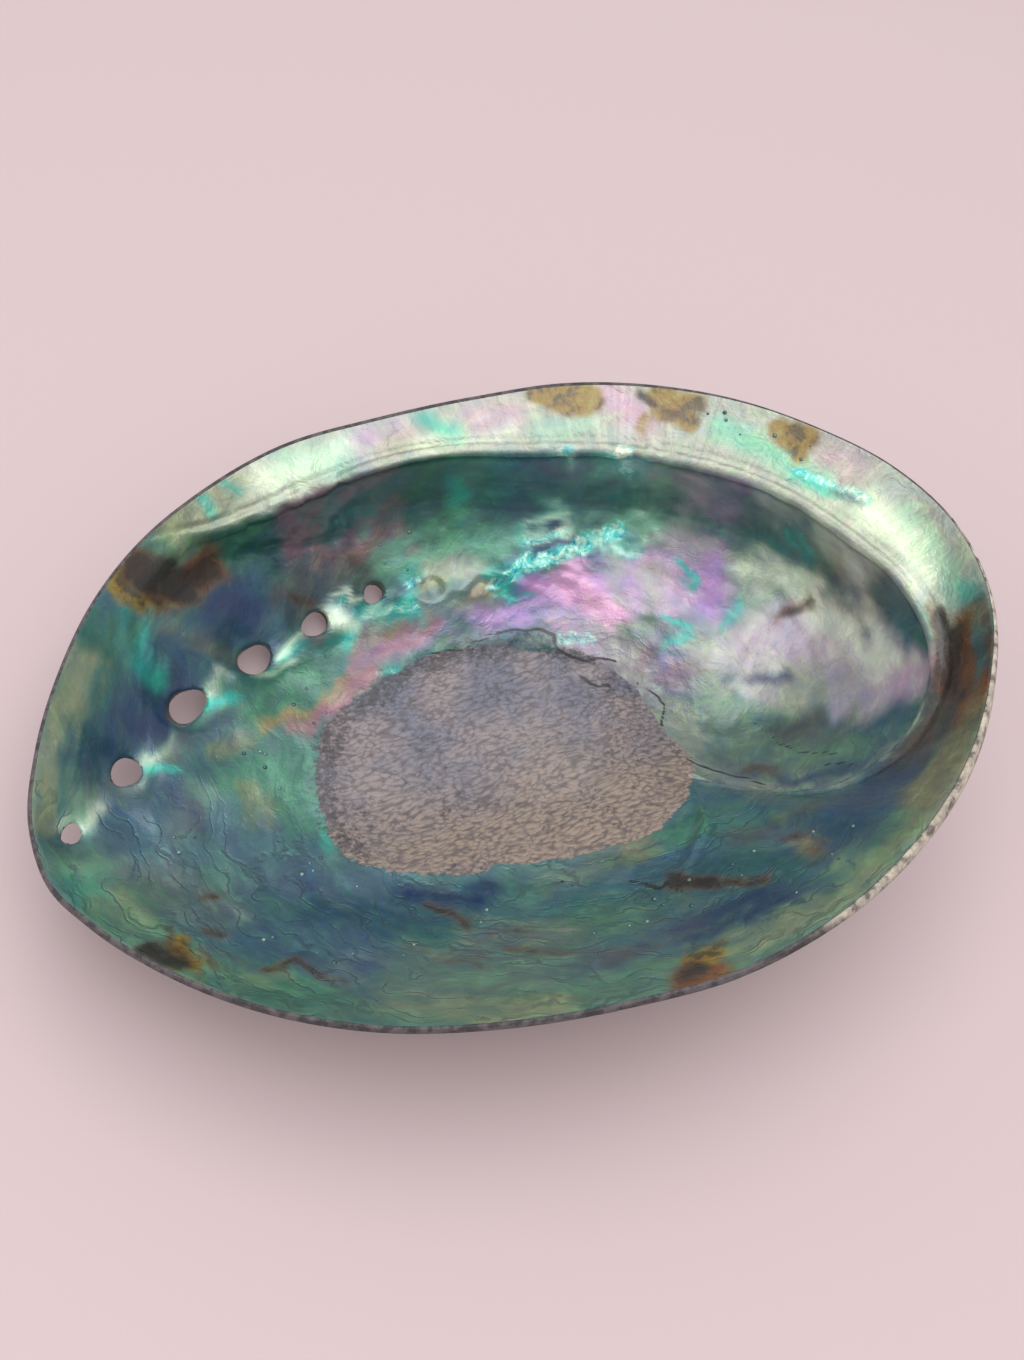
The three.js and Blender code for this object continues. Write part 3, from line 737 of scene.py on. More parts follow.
    def inner_relief(self, points: np.ndarray, onto: np.ndarray) -> np.ndarray:
        """Height of the fine relief of the inner face, in mm, (rings, rays)."""
        flat = points.reshape(-1, 3)
        x, y = flat[:, 0], flat[:, 1]
        ledge = onto.reshape(-1)
        angle, r = self.form.polar(x, y)
        polar = np.stack([np.cos(angle) * 26, np.sin(angle) * 26, r * 1.3 + flat[:, 2]], axis=1)
        low = lumps(flat, 17, 1) * 0.5 + lumps(polar, 7, 2) * 0.16
        scar = self.scar_field(x, y)
        calm = 1 - 0.6 * ledge - 0.55 * smooth(scar, -3, 2)
        relief = low * calm * smooth(self.form.curves["rim"](angle) - r, 0, 5)
        relief += 0.35 * smooth(scar, -2.5, 2.5)
        bumpy = bell(segment_distance(x, y, (7, 43), (44, 41)), 5)
        relief += bumpy * 0.9 * lumps(flat, 5, 3)
        pitted = bell(segment_distance(x, y, (-39, 54.5), (-16, 57)), 3)
        relief += pitted * 0.8 * lumps(flat, 3, 4)
        for pore in self.form.pores:
            away = np.hypot(x - pore.x, y - pore.y) - 0.5 * (pore.long + pore.wide)
            relief -= 1.1 * np.exp(-(np.maximum(away, 0) / 2.2) ** 2)
        away = np.hypot(x - self.plug[0], y - self.plug[1])
        relief += 0.8 * (1 - smooth(away, 1.2, 3.4)) - 0.15 * bell(away - 3.6, 0.8)
        beads = self.ledge_beads(x, y, angle, r)
        return (relief + beads * ledge).reshape(points.shape[:2])

    def ledge_beads(self, x: np.ndarray, y: np.ndarray, angle: np.ndarray,
                    r: np.ndarray) -> np.ndarray:
        """Fine beads and grooves along the ledge's free edge, in mm."""
        back = r - self.form.curves["ledge"](angle)
        return 0.22 * bell(back - 1.6, 0.6) - 0.38 * bell(back - 2.9, 0.7) + 0.12 * bell(back - 4.1, 0.6)

    def outer_relief(self, points: np.ndarray, parts: np.ndarray) -> np.ndarray:
        """Height of the fine relief of the outer face, in mm, (rings, rays)."""
        flat = points.reshape(-1, 3)
        x, y = flat[:, 0], flat[:, 1]
        dx, dy = x - self.form.apex[0], y - self.form.apex[1]
        d, turn = np.maximum(np.hypot(dx, dy), 2), np.arctan2(dy, dx)
        grow = (1 - smooth(np.repeat(parts, points.shape[1]), 0.93, 1))
        waves = 0.45 * np.sin(46 * turn + 3 * lumps(flat, 30, 5, 2)) * smooth(d, 15, 40)
        old = smooth(x, -10, 60)
        crust = old * (0.75 * lumps(flat, 6, 6) + 0.35 * lumps(flat, 2.5, 7, 2))
        return ((waves + lumps(flat, 14, 8) * 0.5 + crust) * grow).reshape(points.shape[:2])

    def settled(self, points: np.ndarray) -> np.ndarray:
        """Points leaned onto the resting spots, worn flat there, in metres."""
        lean = (Matrix.Rotation(math.radians(self.lean_y), 3, "Y")
                @ Matrix.Rotation(math.radians(self.lean_x), 3, "X"))
        placed = points @ np.array(lean).T + np.array(self.shift)
        placed[:, 2] = np.maximum(placed[:, 2], 0)
        return placed * MM

    def cutters(self) -> bpy.types.Object:
        """One object with a waisted cutter for each pore, in the aperture frame, mm."""
        mesh_points, faces = [], []
        axis = Vector(self.form.pore_axis).normalized()
        pores = self.form.pores
        stations = ((5, 3.2), (1.5, 1.5), (-0.2, 0.5), (-1.6, 0), (-3.4, 0), (-5, 0.5), (-14, 1.2))
        count = 40
        for i, pore in enumerate(pores):
            before, after = pores[max(i - 1, 0)], pores[min(i + 1, len(pores) - 1)]
            along = Vector((after.x - before.x, after.y - before.y, 0))
            along = (along - axis * along.dot(axis)).normalized()
            across = axis.cross(along)
            middle = Vector((pore.x, pore.y, float(self.form.height_at(pore.x, pore.y))))
            base = len(mesh_points)
            for depth, flare in stations:
                for k in range(count):
                    a = TURN * k / count
                    ragged = 1 + 0.07 * math.sin(2 * a + i) + 0.05 * math.sin(3 * a + 2 * i)
                    mesh_points.append(middle + axis * depth
                                       + along * (pore.long * ragged + flare) * math.cos(a)
                                       + across * (pore.wide * ragged + flare) * math.sin(a))
            for s in range(len(stations) - 1):
                for k in range(count):
                    low, high = base + s * count, base + (s + 1) * count
                    faces.append((low + k, high + k, high + (k + 1) % count, low + (k + 1) % count))
            faces.append(tuple(base + k for k in range(count)))
            last = base + (len(stations) - 1) * count
            faces.append(tuple(last + count - 1 - k for k in range(count)))
        mesh = bpy.data.meshes.new("pore_cutters")
        mesh.from_pydata([tuple(p) for p in mesh_points], [], faces)
        return link(bpy.data.objects.new("pore_cutters", mesh))

    def build(self) -> bpy.types.Object:
        """The shell's mesh with its pores, markings and regions, at rest, in metres."""
        points, zone, ledge = self.grid()
        rings, rays = points.shape[:2]
        floor = np.array([[*self.form.centre, float(self.form.height_at(*self.form.centre))]])
        floor[0, 2] += 0.45
        below = points[-1].mean(axis=0, keepdims=True)
        vertices = np.concatenate([floor, points.reshape(-1, 3), below])
        zones = np.concatenate([[0], zone.reshape(-1), [2]])
        ledges = np.concatenate([[0], ledge.reshape(-1), [0]])
        blank = bpy.data.meshes.new("abalone_blank")
        blank.from_pydata(vertices.tolist(), [], ring_faces(rings, rays))
        blank_object = link(bpy.data.objects.new("abalone_blank", blank))
        cutter = self.cutters()
        cut = blank_object.modifiers.new("pores", "BOOLEAN")
        cut.operation, cut.solver, cut.object = "DIFFERENCE", "MANIFOLD", cutter
        mesh = plain_mesh(blank_object, "nacre_shell")
        tree = kdtree.KDTree(len(vertices))
        for i, point in enumerate(vertices):
            tree.insert(point, i)
        tree.balance()
        found = [tree.find(v.co) for v in mesh.vertices]
        near = np.array([f[1] for f in found])
        fresh = np.array([f[2] for f in found]) > 0.05
        round_off(mesh, fresh)
        place = np.array([v.co[:] for v in mesh.vertices])
        self.mark(mesh, place, zones[near], ledges[near])
        mesh.vertices.foreach_set("co", self.settled(place).reshape(-1).astype(np.float32))
        for old in (blank_object, cutter):
            data = old.data
            bpy.data.objects.remove(old)
            bpy.data.meshes.remove(data)
        mesh.shade_smooth()
        mesh.update()
        return link(bpy.data.objects.new("nacre_shell", mesh))

    def mark(self, mesh: bpy.types.Mesh, place: np.ndarray, zone: np.ndarray,
             ledge: np.ndarray) -> None:
        """Write the markings and the regions onto the mesh.

        Args:
            mesh: The shell's mesh.
            place: Its points in the aperture frame, mm.
            zone: 0 inside, 1 lip, 2 outside, for each point.
            ledge: How far each point is onto the ledge.
        """
        x, y = place[:, 0], place[:, 1]
        angle, r = self.form.polar(x, y)
        warp = (lumps(place, 9, 11), lumps(place, 9, 12))
        inside = zone < 0.5
        on_top = np.where(x > 72, smooth(ledge, 0.1, 0.5), 1)
        values = {m.name: m.field(x, y, warp) * inside * on_top for m in MARKINGS}
        values["scar"] = smooth(self.scar_field(x, y) + 1.2 * warp[0], -1.6, 1.6) * inside
        values["fringe"] = bell(path_distance(x, y, self.fringe_at) + 1.5 * warp[1], 4) * inside
        cracked = [bell(path_distance(x + 2 * warp[0], y + 2 * warp[1], path), width)
                   for path, width in self.cracks]
        values["cracks"] = np.max(cracked, axis=0) * inside
        growth = np.stack([np.cos(angle) * 22, np.sin(angle) * 22, r + 0.7 * place[:, 2]], axis=1)
        shift = 3.2 * lumps(growth, 6, 14)
        px = x + shift * np.cos(angle) + 1.6 * warp[0]
        py = y + shift * np.sin(angle) + 1.6 * warp[1]
        calm_x, calm_y = x + 1.2 * warp[0], y + 1.2 * warp[1]
        bowl = laid_on(Tint.TEAL, BOWL_TINTS, px, py)
        # the ledge's silver base is partly painted reflection
        shelf = laid_on(Tint.SILVER_SHEEN, LEDGE_TINTS, calm_x, calm_y)
        cover = (smooth(ledge, 0.3, 0.9) * smooth(y, -26, -12))[:, None]
        paint = np.concatenate([bowl + (shelf - bowl) * cover, np.ones((len(x), 1))], axis=1)
        layer = mesh.attributes.new("paint", "FLOAT_COLOR", "POINT")
        layer.data.foreach_set("color", paint.reshape(-1).astype(np.float32))
        values["ledge"] = ledge
        values["edge"] = bell(self.form.curves["rim"](angle) - r, 9) * inside
        old = smooth(x, -20, 62) * smooth(-y, -60, 30)
        crusted = np.clip(smooth(x, 10, 75) * 0.8 + old * 0.6 + 0.35 * lumps(place, 22, 13), 0, 1)
        values["crusted"] = crusted * (zone > 0.5)
        rim_crust = smooth(np.cos(angle + 0.75), 0.55, 0.95)
        values["pale_lip"] = rim_crust * (zone > 0.5)
        values["blistered"] = self.blister_field(x, y) * inside
        by_rim = bell(r / self.form.curves["rim"](angle) - 1, 0.05)
        values["grained"] = np.clip((rim_crust * by_rim + 0.4 * crusted) * (zone > 1.5), 0, 1)
        values["grained"] *= 0.3 * smooth(self.settled(place)[:, 2] / MM, 1, 3)
        for name, value in values.items():
            layer = mesh.attributes.new(name, "FLOAT", "POINT")
            layer.data.foreach_set("value", value.astype(np.float32))
        layer = mesh.attributes.new("place", "FLOAT_VECTOR", "POINT")
        layer.data.foreach_set("vector", place.reshape(-1).astype(np.float32))
        slots = np.empty(len(mesh.polygons), dtype=np.int32)
        for i, polygon in enumerate(mesh.polygons):
            mean = zone[list(polygon.vertices)].mean()
            slots[i] = 0 if mean < 0.5 else (1 if mean < 1.6 else 2)
        mesh.materials.clear()
        mesh.polygons.foreach_set("material_index", slots)

    def blister_field(self, x: np.ndarray, y: np.ndarray) -> np.ndarray:
        """How many blisters there are on the nacre at each plan position, 0 to 1."""
        strokes = (((-66, 0), (-45, -12), 6), ((-50, 12), (-40, 24), 5), ((-60, -28), (-40, -36), 5),
                   ((10, -44), (40, -48), 6), ((-20, -36), (-5, -46), 5), ((-15, 46), (-6, 52), 3),
                   ((-30, 45), (-8, 47), 3), ((60, 40), (72, 30), 3))
        field_value = np.zeros(np.shape(x))
        for a, b, half in strokes:
            field_value = np.maximum(field_value, bell(segment_distance(x, y, a, b), half))
        return field_value


def ring_normals(rings: np.ndarray) -> np.ndarray:
    """Unit normals of a grid of rings, pointing out of the solid."""
    across = np.gradient(rings, axis=0)
    along = np.roll(rings, -1, axis=1) - np.roll(rings, 1, axis=1)
    normal = np.cross(across, along)
    return normal / np.maximum(np.linalg.norm(normal, axis=2, keepdims=True), 1e-9)


def ring_faces(rings: int, rays: int) -> list[tuple[int, ...]]:
    """Faces of a closed skin: a first point, the rings in order, and a last point."""
    k = np.arange(rays)
    after = (k + 1) % rays
    faces: list[tuple[int, ...]] = []
    last = 1 + rings * rays
    faces += [(0, 1 + int(i), 1 + int(j)) for i, j in zip(k, after)]
    for ring in range(rings - 1):
        a, b = 1 + ring * rays, 1 + (ring + 1) * rays
        faces += [(a + int(i), b + int(i), b + int(j), a + int(j)) for i, j in zip(k, after)]
    a = 1 + (rings - 1) * rays
    faces += [(last, a + int(j), a + int(i)) for i, j in zip(k, after)]
    return faces


def round_off(mesh: bpy.types.Mesh, fresh: np.ndarray, passes: int = 3) -> None:
    """Soften the edges that a cut has left.

    Args:
        mesh: The cut mesh.
        fresh: True for the points that the cut made.
        passes: How often the points are evened out.
    """
    body = bmesh.new()
    body.from_mesh(mesh)
    body.verts.ensure_lookup_table()
    soft = {body.verts[int(i)] for i in np.nonzero(fresh)[0]}
    soft |= {e.other_vert(v) for v in list(soft) for e in v.link_edges}
    for _ in range(passes):
        bmesh.ops.smooth_vert(body, verts=list(soft), factor=0.5, use_axis_x=True, use_axis_y=True,
                              use_axis_z=True)
    body.to_mesh(mesh)
    body.free()


def link(thing: bpy.types.Object) -> bpy.types.Object:
    """Put an object into the scene and return it."""
    bpy.context.scene.collection.objects.link(thing)
    return thing


def plain_mesh(thing: bpy.types.Object, name: str) -> bpy.types.Mesh:
    """The object's mesh as its modifiers leave it."""
    bpy.context.view_layer.update()
    ready = thing.evaluated_get(bpy.context.evaluated_depsgraph_get())
    mesh = bpy.data.meshes.new_from_object(ready)
    mesh.name = name
    return mesh


# ---- grains and blisters -----------------------------------------------------------------

@dataclass
class Grains:
    """Small rounded lumps grown onto the shell where an attribute says how thickly."""

    name: str
    where: str
    per_m2: float
    smallest: float
    largest: float
    flatness: float
    seed: int

    def tree(self) -> bpy.types.GeometryNodeTree:
        """The tree that scatters the lumps, realizes them and gives them their finish."""
        tree = bpy.data.node_groups.new(f"scatter_{self.name}", "GeometryNodeTree")
        face = tree.interface
        face.new_socket("Shell", in_out="INPUT", socket_type="NodeSocketGeometry")
        for label in ("Per square metre", "Smallest", "Largest", "Flatness"):
            face.new_socket(label, in_out="INPUT", socket_type="NodeSocketFloat")
        face.new_socket("Finish", in_out="INPUT", socket_type="NodeSocketMaterial")
        face.new_socket("Lumps", in_out="OUTPUT", socket_type="NodeSocketGeometry")

        def node(kind: str, inputs: dict[object, object], **settings: object) -> bpy.types.Node:
            """Add a node, set its properties, and link or set its inputs."""
            made = tree.nodes.new(kind)
            for key, value in settings.items():
                setattr(made, key, value)
            for key, value in inputs.items():
                if isinstance(value, bpy.types.NodeSocket):
                    tree.links.new(value, made.inputs[key])
                else:
                    made.inputs[key].default_value = value
            return made

        entry = node("NodeGroupInput", {}).outputs
        where = node("GeometryNodeInputNamedAttribute", {"Name": self.where}, data_type="FLOAT")
        dense = node("ShaderNodeMath", {0: where.outputs["Attribute"],
                                        1: entry["Per square metre"]}, operation="MULTIPLY")
        spread = node("GeometryNodeDistributePointsOnFaces", {
            "Mesh": entry["Shell"], "Density": dense.outputs[0], "Seed": self.seed})
        ball = node("GeometryNodeMeshUVSphere", {"Segments": 7, "Rings": 4, "Radius": 1.0})
        size = node("FunctionNodeRandomValue", {2: entry["Smallest"], 3: entry["Largest"],
                                                "Seed": self.seed + 1}, data_type="FLOAT")
        flat = node("ShaderNodeMath", {0: size.outputs[1], 1: entry["Flatness"]},
                    operation="MULTIPLY")
        scale = node("ShaderNodeCombineXYZ", {0: size.outputs[1], 1: size.outputs[1],
                                              2: flat.outputs[0]})
        place = node("GeometryNodeInstanceOnPoints", {
            "Points": spread.outputs["Points"], "Instance": ball.outputs["Mesh"],
            "Rotation": spread.outputs["Rotation"], "Scale": scale.outputs[0]})
        real = node("GeometryNodeRealizeInstances", {0: place.outputs["Instances"]})
        dress = node("GeometryNodeSetMaterial", {"Geometry": real.outputs[0],
                                                 "Material": entry["Finish"]})
        node("NodeGroupOutput", {0: dress.outputs[0]})
        return tree

    def grow_on(self, shell: bpy.types.Object, finish: bpy.types.Material) -> bpy.types.Object:
        """Scatter the lumps on the shell.

        Args:
            shell: The shell.
            finish: The lumps' material.

        Returns:
            The lumps, as one plain mesh.
        """
        tree = self.tree()
        lumps_object = link(bpy.data.objects.new(self.name, shell.data.copy()))
        modifier = lumps_object.modifiers.new(self.name, "NODES")
        modifier.node_group = tree
        values = {"Per square metre": self.per_m2, "Smallest": self.smallest * MM,
                  "Largest": self.largest * MM, "Flatness": self.flatness, "Finish": finish}
        for item in tree.interface.items_tree:
            if item.in_out == "INPUT" and item.name in values:
                modifier[item.identifier] = values[item.name]
        before = lumps_object.data
        mesh = plain_mesh(lumps_object, self.name)
        lumps_object.modifiers.remove(modifier)
        lumps_object.data = mesh
        bpy.data.meshes.remove(before)
        mesh.shade_smooth()
        return lumps_object


# ---- finishes ----------------------------------------------------------------------------

class Board:
    """A small helper that lays out a material's nodes."""

    def __init__(self, name: str) -> None:
        """Start a material with one principled shader."""
        self.material = bpy.data.materials.new(name)
        self.material.use_nodes = True
        self.nodes, self.links = self.material.node_tree.nodes, self.material.node_tree.links
        self.shader = self.nodes["Principled BSDF"]

    def feed(self, value: object, socket: bpy.types.NodeSocket) -> None:
        """Link a socket, or set a number or colour on it."""
        if isinstance(value, bpy.types.NodeSocket):
            self.links.new(value, socket)
        elif isinstance(value, tuple) and len(value) == 3 and socket.type == "RGBA":
            socket.default_value = (*value, 1)
        else:
            socket.default_value = value

    def node(self, kind: str, inputs: dict[object, object], **settings: object) -> bpy.types.Node:
        """Add a node.

        Args:
            kind: The node's type name.
            inputs: Socket name or number to a value or a socket.
            settings: Properties of the node.

        Returns:
            The node.
        """
        made = self.nodes.new(kind)
        for key, value in settings.items():
            setattr(made, key, value)
        for key, value in inputs.items():
            self.feed(value, made.inputs[key])
        return made

    def math(self, operation: str, a: object, b: object = 0.5, c: object = 0.5,
             clamp: bool = False) -> bpy.types.NodeSocket:
        """The result of a math node."""
        return self.node("ShaderNodeMath", {0: a, 1: b, 2: c}, operation=operation,
                         use_clamp=clamp).outputs[0]

    def vector(self, operation: str, a: object, b: object = (0, 0, 0)) -> bpy.types.NodeSocket:
        """The vector result of a vector math node."""
        made = self.node("ShaderNodeVectorMath", {0: a}, operation=operation)
        if operation == "SCALE":
            self.feed(b, made.inputs["Scale"])
        else:
            self.feed(b, made.inputs[1])
        return made.outputs["Value" if operation == "LENGTH" else "Vector"]

    def spread(self, value: object, low: float, high: float, to_low: float = 0, to_high: float = 1
               ) -> bpy.types.NodeSocket:
        """A value eased from one range to another."""
        return self.node("ShaderNodeMapRange", {0: value, 1: low, 2: high, 3: to_low, 4: to_high},
                         interpolation_type="SMOOTHSTEP").outputs[0]

    def field(self, name: str) -> bpy.types.Node:
        """An attribute of the mesh."""
        return self.node("ShaderNodeAttribute", {}, attribute_name=name)

    def noise(self, where: object, size: float, detail: float = 3, rough: float = 0.55,
              twist: float = 0) -> bpy.types.NodeSocket:
        """A noise with features of about a size, in the unit of where."""
        return self.node("ShaderNodeTexNoise", {
            "Vector": where, "Scale": 1 / size, "Detail": detail, "Roughness": rough,
            "Distortion": twist}).outputs["Fac"]

    def cells(self, where: object, size: float, feature: str = "F1") -> bpy.types.NodeSocket:
        """Distance to the nearest of scattered cell centres."""
        return self.node("ShaderNodeTexVoronoi", {"Vector": where, "Scale": 1 / size},
                         feature=feature).outputs["Distance"]

    def ramp(self, value: object, stops: Sequence[tuple[float, Colour]]) -> bpy.types.NodeSocket:
        """A colour ramp."""
        made = self.node("ShaderNodeValToRGB", {0: value})
        ramp = made.color_ramp
        ramp.interpolation = "EASE"
        while len(ramp.elements) < len(stops):
            ramp.elements.new(1)
        for element, (at, colour) in zip(ramp.elements, stops):
            element.position, element.color = at, (*colour, 1)
        return made.outputs["Color"]

    def blend(self, share: object, a: object, b: object, way: str = "MIX") -> bpy.types.NodeSocket:
        """Colour a with a share of colour b."""
        made = self.nodes.new("ShaderNodeMix")
        made.data_type, made.blend_type = "RGBA", way
        self.feed(share, made.inputs[0])
        self.feed(a, made.inputs[6])
        self.feed(b, made.inputs[7])
        return made.outputs[2]

    def relief(self, height: object, depth_mm: float, below: object = None
               ) -> bpy.types.NodeSocket:
        """A bump from a height of 0 to 1, with its full depth in mm."""
        made = self.node("ShaderNodeBump", {"Strength": 1.0, "Distance": depth_mm * MM,
                                            "Height": height})
        if below is not None:
            self.links.new(below, made.inputs["Normal"])
        return made.outputs[0]


@dataclass(frozen=True)
class NacreFinish:
    """Rainbow nacre with its brown patches and the rough muscle scar."""

    roughness: float = 0.3
    metal: float = 0.32
    middle: tuple[float, float, float] = (22, 2, -20)

    def streaks(self, b: Board, place: bpy.types.NodeSocket) -> bpy.types.NodeSocket:
        """Coordinates that are stretched along the growth lines, in mm."""
        local = b.vector("SUBTRACT", place, self.middle)
        outward = b.vector("SCALE", b.vector("NORMALIZE", local), 24.0)
        rise = b.node("ShaderNodeCombineXYZ", {
            2: b.math("MULTIPLY_ADD", b.noise(place, 20, 2), 22.0, b.vector("LENGTH", local))})
        return b.vector("ADD", outward, rise.outputs[0])

    def horn(self, b: Board, place: bpy.types.NodeSocket, colour: bpy.types.NodeSocket
             ) -> tuple[bpy.types.NodeSocket, bpy.types.NodeSocket]:
        """Lay the see-through brown and amber patches over a colour.

        Args:
            b: The board that the nodes are laid on.
            place: The place on the shell, in mm.
            colour: The colour beneath.

        Returns:
            The new colour, and how strongly it is brown.
        """
        rough = b.math("MULTIPLY", b.math("SUBTRACT", b.noise(place, 2.2, 4, 0.6), 0.5), 0.6)
        patchy = b.noise(place, 4, 4, 0.6)
        amber = b.spread(b.math("ADD", rough, b.field("amber").outputs["Fac"]), 0.1, 0.9, 0, 0.92)
        gold = b.ramp(patchy, ((0.38, tint(70, 54, 10)), (0.5, tint(122, 94, 16)),
                               (0.62, tint(130, 116, 40))))
        colour = b.blend(amber, colour, gold)
        brown = b.math("ADD", rough, b.field("brown").outputs["Fac"])
        core = b.ramp(b.math("MULTIPLY_ADD", b.math("SUBTRACT", patchy, 0.5), 1.4, brown), (
            (0.3, tint(88, 62, 42)), (0.6, tint(66, 42, 26)), (0.9, tint(36, 26, 22))))
        share = b.spread(brown, 0.08, 0.95, 0, 0.94)
        return b.blend(share, colour, core), b.math("MAXIMUM", share, b.math("MULTIPLY", amber, 0.7))

    def muscle_scar(self, b: Board, place: bpy.types.NodeSocket
                    ) -> tuple[bpy.types.NodeSocket, bpy.types.NodeSocket]:
        """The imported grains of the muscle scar.

        Args:
            b: The board that the nodes are laid on.
            place: The place on the shell, in mm.

        Returns:
            The scar's colour, and the height of its grains.
        """
        turned = b.node("ShaderNodeMapping", {"Vector": place, "Rotation": (0.0, 0.0, -0.55),
                                              "Scale": (0.62, 1.25, 1.0)}).outputs[0]
        swirl = b.vector("ADD", turned, b.vector("SCALE", b.node(
            "ShaderNodeTexNoise", {"Vector": place, "Scale": 0.11}).outputs["Color"], 5.0))
        crumb = b.noise(swirl, 0.6, 4, 0.7, 0.2)
        packed = b.math("MULTIPLY_ADD", crumb, 0.6, b.math("MULTIPLY", b.cells(swirl, 1.0), 0.45))
        split = b.node("ShaderNodeSeparateXYZ", {0: place})
        blue = b.math("MULTIPLY_ADD", b.noise(place, 13, 3), 1.3, -0.55)
        low = b.spread(b.math("MULTIPLY_ADD", b.noise(place, 9, 3), 16.0, split.outputs[1]), 20, -12)
        ground = b.blend(b.spread(blue, -0.08, 0.25), tint(138, 127, 128), tint(106, 108, 124))
        ground = b.blend(b.math("MULTIPLY", low, 0.75), ground, tint(150, 131, 110))
        dark = b.math("MULTIPLY", b.spread(b.noise(place, 1.3, 4, 0.7), 0.54, 0.64, 0, 0.7),
                      b.spread(b.noise(place, 12, 2), 0.42, 0.6, 0.25, 1))
        shaded = b.blend(b.spread(packed, 0.4, 0.72, 0, 0.8), ground, tint(74, 68, 74))
        return b.blend(dark, shaded, tint(50, 46, 50)), packed

    def material(self) -> bpy.types.Material:
        """Build the material."""
        b = Board("nacre")
        place = b.field("place").outputs["Vector"]
        streak_at = self.streaks(b, place)
        broad = b.noise(streak_at, 9, 4, 0.6, 0.5)
        fine = b.noise(streak_at, 2.2, 4, 0.62)
        patchy = b.noise(place, 6, 4, 0.6, 0.6)
        colour = b.field("paint").outputs["Color"]
        play = b.ramp(b.math("MULTIPLY_ADD", fine, 0.5, b.math("MULTIPLY", broad, 0.5)), (
            (0.34, tint(76, 70, 150)), (0.43, tint(84, 126, 140)), (0.5, tint(128, 128, 128)),
            (0.57, tint(132, 168, 128)), (0.66, tint(196, 176, 170))))
        colour = b.blend(0.65, colour, play, "SOFT_LIGHT")
        glow = b.ramp(patchy, ((0.36, tint(88, 88, 104)), (0.5, tint(128, 128, 128)),
                               (0.64, tint(176, 182, 168))))
        colour = b.blend(0.5, colour, glow, "SOFT_LIGHT")
        # fine dark veins between the folds of the nacre
        crooked = b.vector("ADD", streak_at, b.vector("SCALE", b.node(
            "ShaderNodeTexNoise", {"Vector": place, "Scale": 0.16, "Detail": 3.0}).outputs["Color"], 9.0))
        folds = b.cells(b.vector("MULTIPLY", crooked, (0.6, 0.6, 1.5)), 7.5, "DISTANCE_TO_EDGE")
        bare = b.math("SUBTRACT", 1.0, b.field("ledge").outputs["Fac"])
        veins = b.math("MULTIPLY", b.spread(folds, 0.09, 0.0), b.spread(patchy, 0.4, 0.6, 0.1, 0.8))
        split = b.node("ShaderNodeSeparateXYZ", {0: place})
        front = b.spread(b.math("MULTIPLY_ADD", split.outputs[0], 0.25, split.outputs[1]), -4, -20, 0.25, 1)
        veins = b.math("MULTIPLY", b.math("MULTIPLY", veins, bare), front)
        colour = b.blend(b.math("MULTIPLY", veins, 0.6), colour, tint(38, 54, 62))
        # short silvery lines across the ledge
        spokes = b.noise(b.vector("MULTIPLY", b.vector("NORMALIZE", b.vector(
            "SUBTRACT", place, self.middle)), (80.0, 80.0, 3.0)), 2.0, 3, 0.6, 0.5)
        shine = b.ramp(spokes, ((0.38, tint(104, 120, 118)), (0.5, tint(128, 128, 128)),
                                (0.62, tint(160, 152, 152))))
        ledge = b.field("ledge").outputs["Fac"]
        colour = b.blend(b.math("MULTIPLY", ledge, 0.6), colour, shine, "SOFT_LIGHT")
        # painted glints mixed with the nacre's own flecks: near-white and cyan where the sparkle marking
        # lies
        sparkle_and_glint = b.math("ADD", b.field("sparkle_and_glint").outputs["Fac"],
                         b.math("MULTIPLY_ADD", b.noise(place, 1.8, 4, 0.7), 1.6, -0.95))
        fleck_and_glint_colours = b.ramp(b.noise(place, 3.2, 7, 0.75, 1.2), (
            (0.36, tint(20, 90, 150)), (0.46, tint(40, 196, 190)), (0.55, tint(180, 236, 214)),
            (0.63, tint(246, 240, 214)), (0.7, tint(40, 150, 120))))
        colour = b.blend(b.spread(sparkle_and_glint, 0.3, 1.1, 0, 0.8), colour, fleck_and_glint_colours)
        colour, brown_share = self.horn(b, place, colour)
        scar = b.field("scar").outputs["Fac"]
        ragged = b.math("MULTIPLY_ADD", b.math("SUBTRACT", b.noise(place, 1.6, 5, 0.7), 0.5), 1.5, scar)
        scar_share = b.spread(ragged, 0.4, 0.6)
        scarred, packed = self.muscle_scar(b, place)
        colour = b.blend(scar_share, colour, scarred)
        fringe = b.spread(b.math("MULTIPLY_ADD", b.noise(place, 1.2, 4, 0.75), 2.6,
                                 b.field("fringe").outputs["Fac"]), 1.9, 2.4)
        colour = b.blend(b.math("MULTIPLY", fringe, 0.7), colour, tint(46, 46, 50))
        crack = b.spread(b.field("cracks").outputs["Fac"], 0.35, 0.8, 0, 0.85)
        colour = b.blend(crack, colour, tint(34, 30, 34))
        b.feed(colour, b.shader.inputs["Base Color"])
        dull = b.math("MAXIMUM", scar_share, b.math("MULTIPLY", brown_share, 0.8))
        b.feed(b.math("MULTIPLY", b.math("SUBTRACT", 1.0, dull), self.metal), b.shader.inputs["Metallic"])
        gloss = b.math("MULTIPLY_ADD", fine, 0.16, self.roughness - 0.08)
        b.feed(b.math("MULTIPLY_ADD", scar_share, 0.4, gloss), b.shader.inputs["Roughness"])
        b.shader.inputs["Coat Weight"].default_value = 0.35
        b.shader.inputs["Coat Roughness"].default_value = 0.14
        wrinkles = b.relief(b.math("MULTIPLY_ADD", spokes, 0.3, b.math(
            "MULTIPLY_ADD", fine, 0.7, b.math("MULTIPLY", veins, -0.9))), 0.16)
        beaten = b.relief(b.math("MULTIPLY", b.noise(place, 4, 3, 0.6, 0.8), ledge), 0.5, wrinkles)
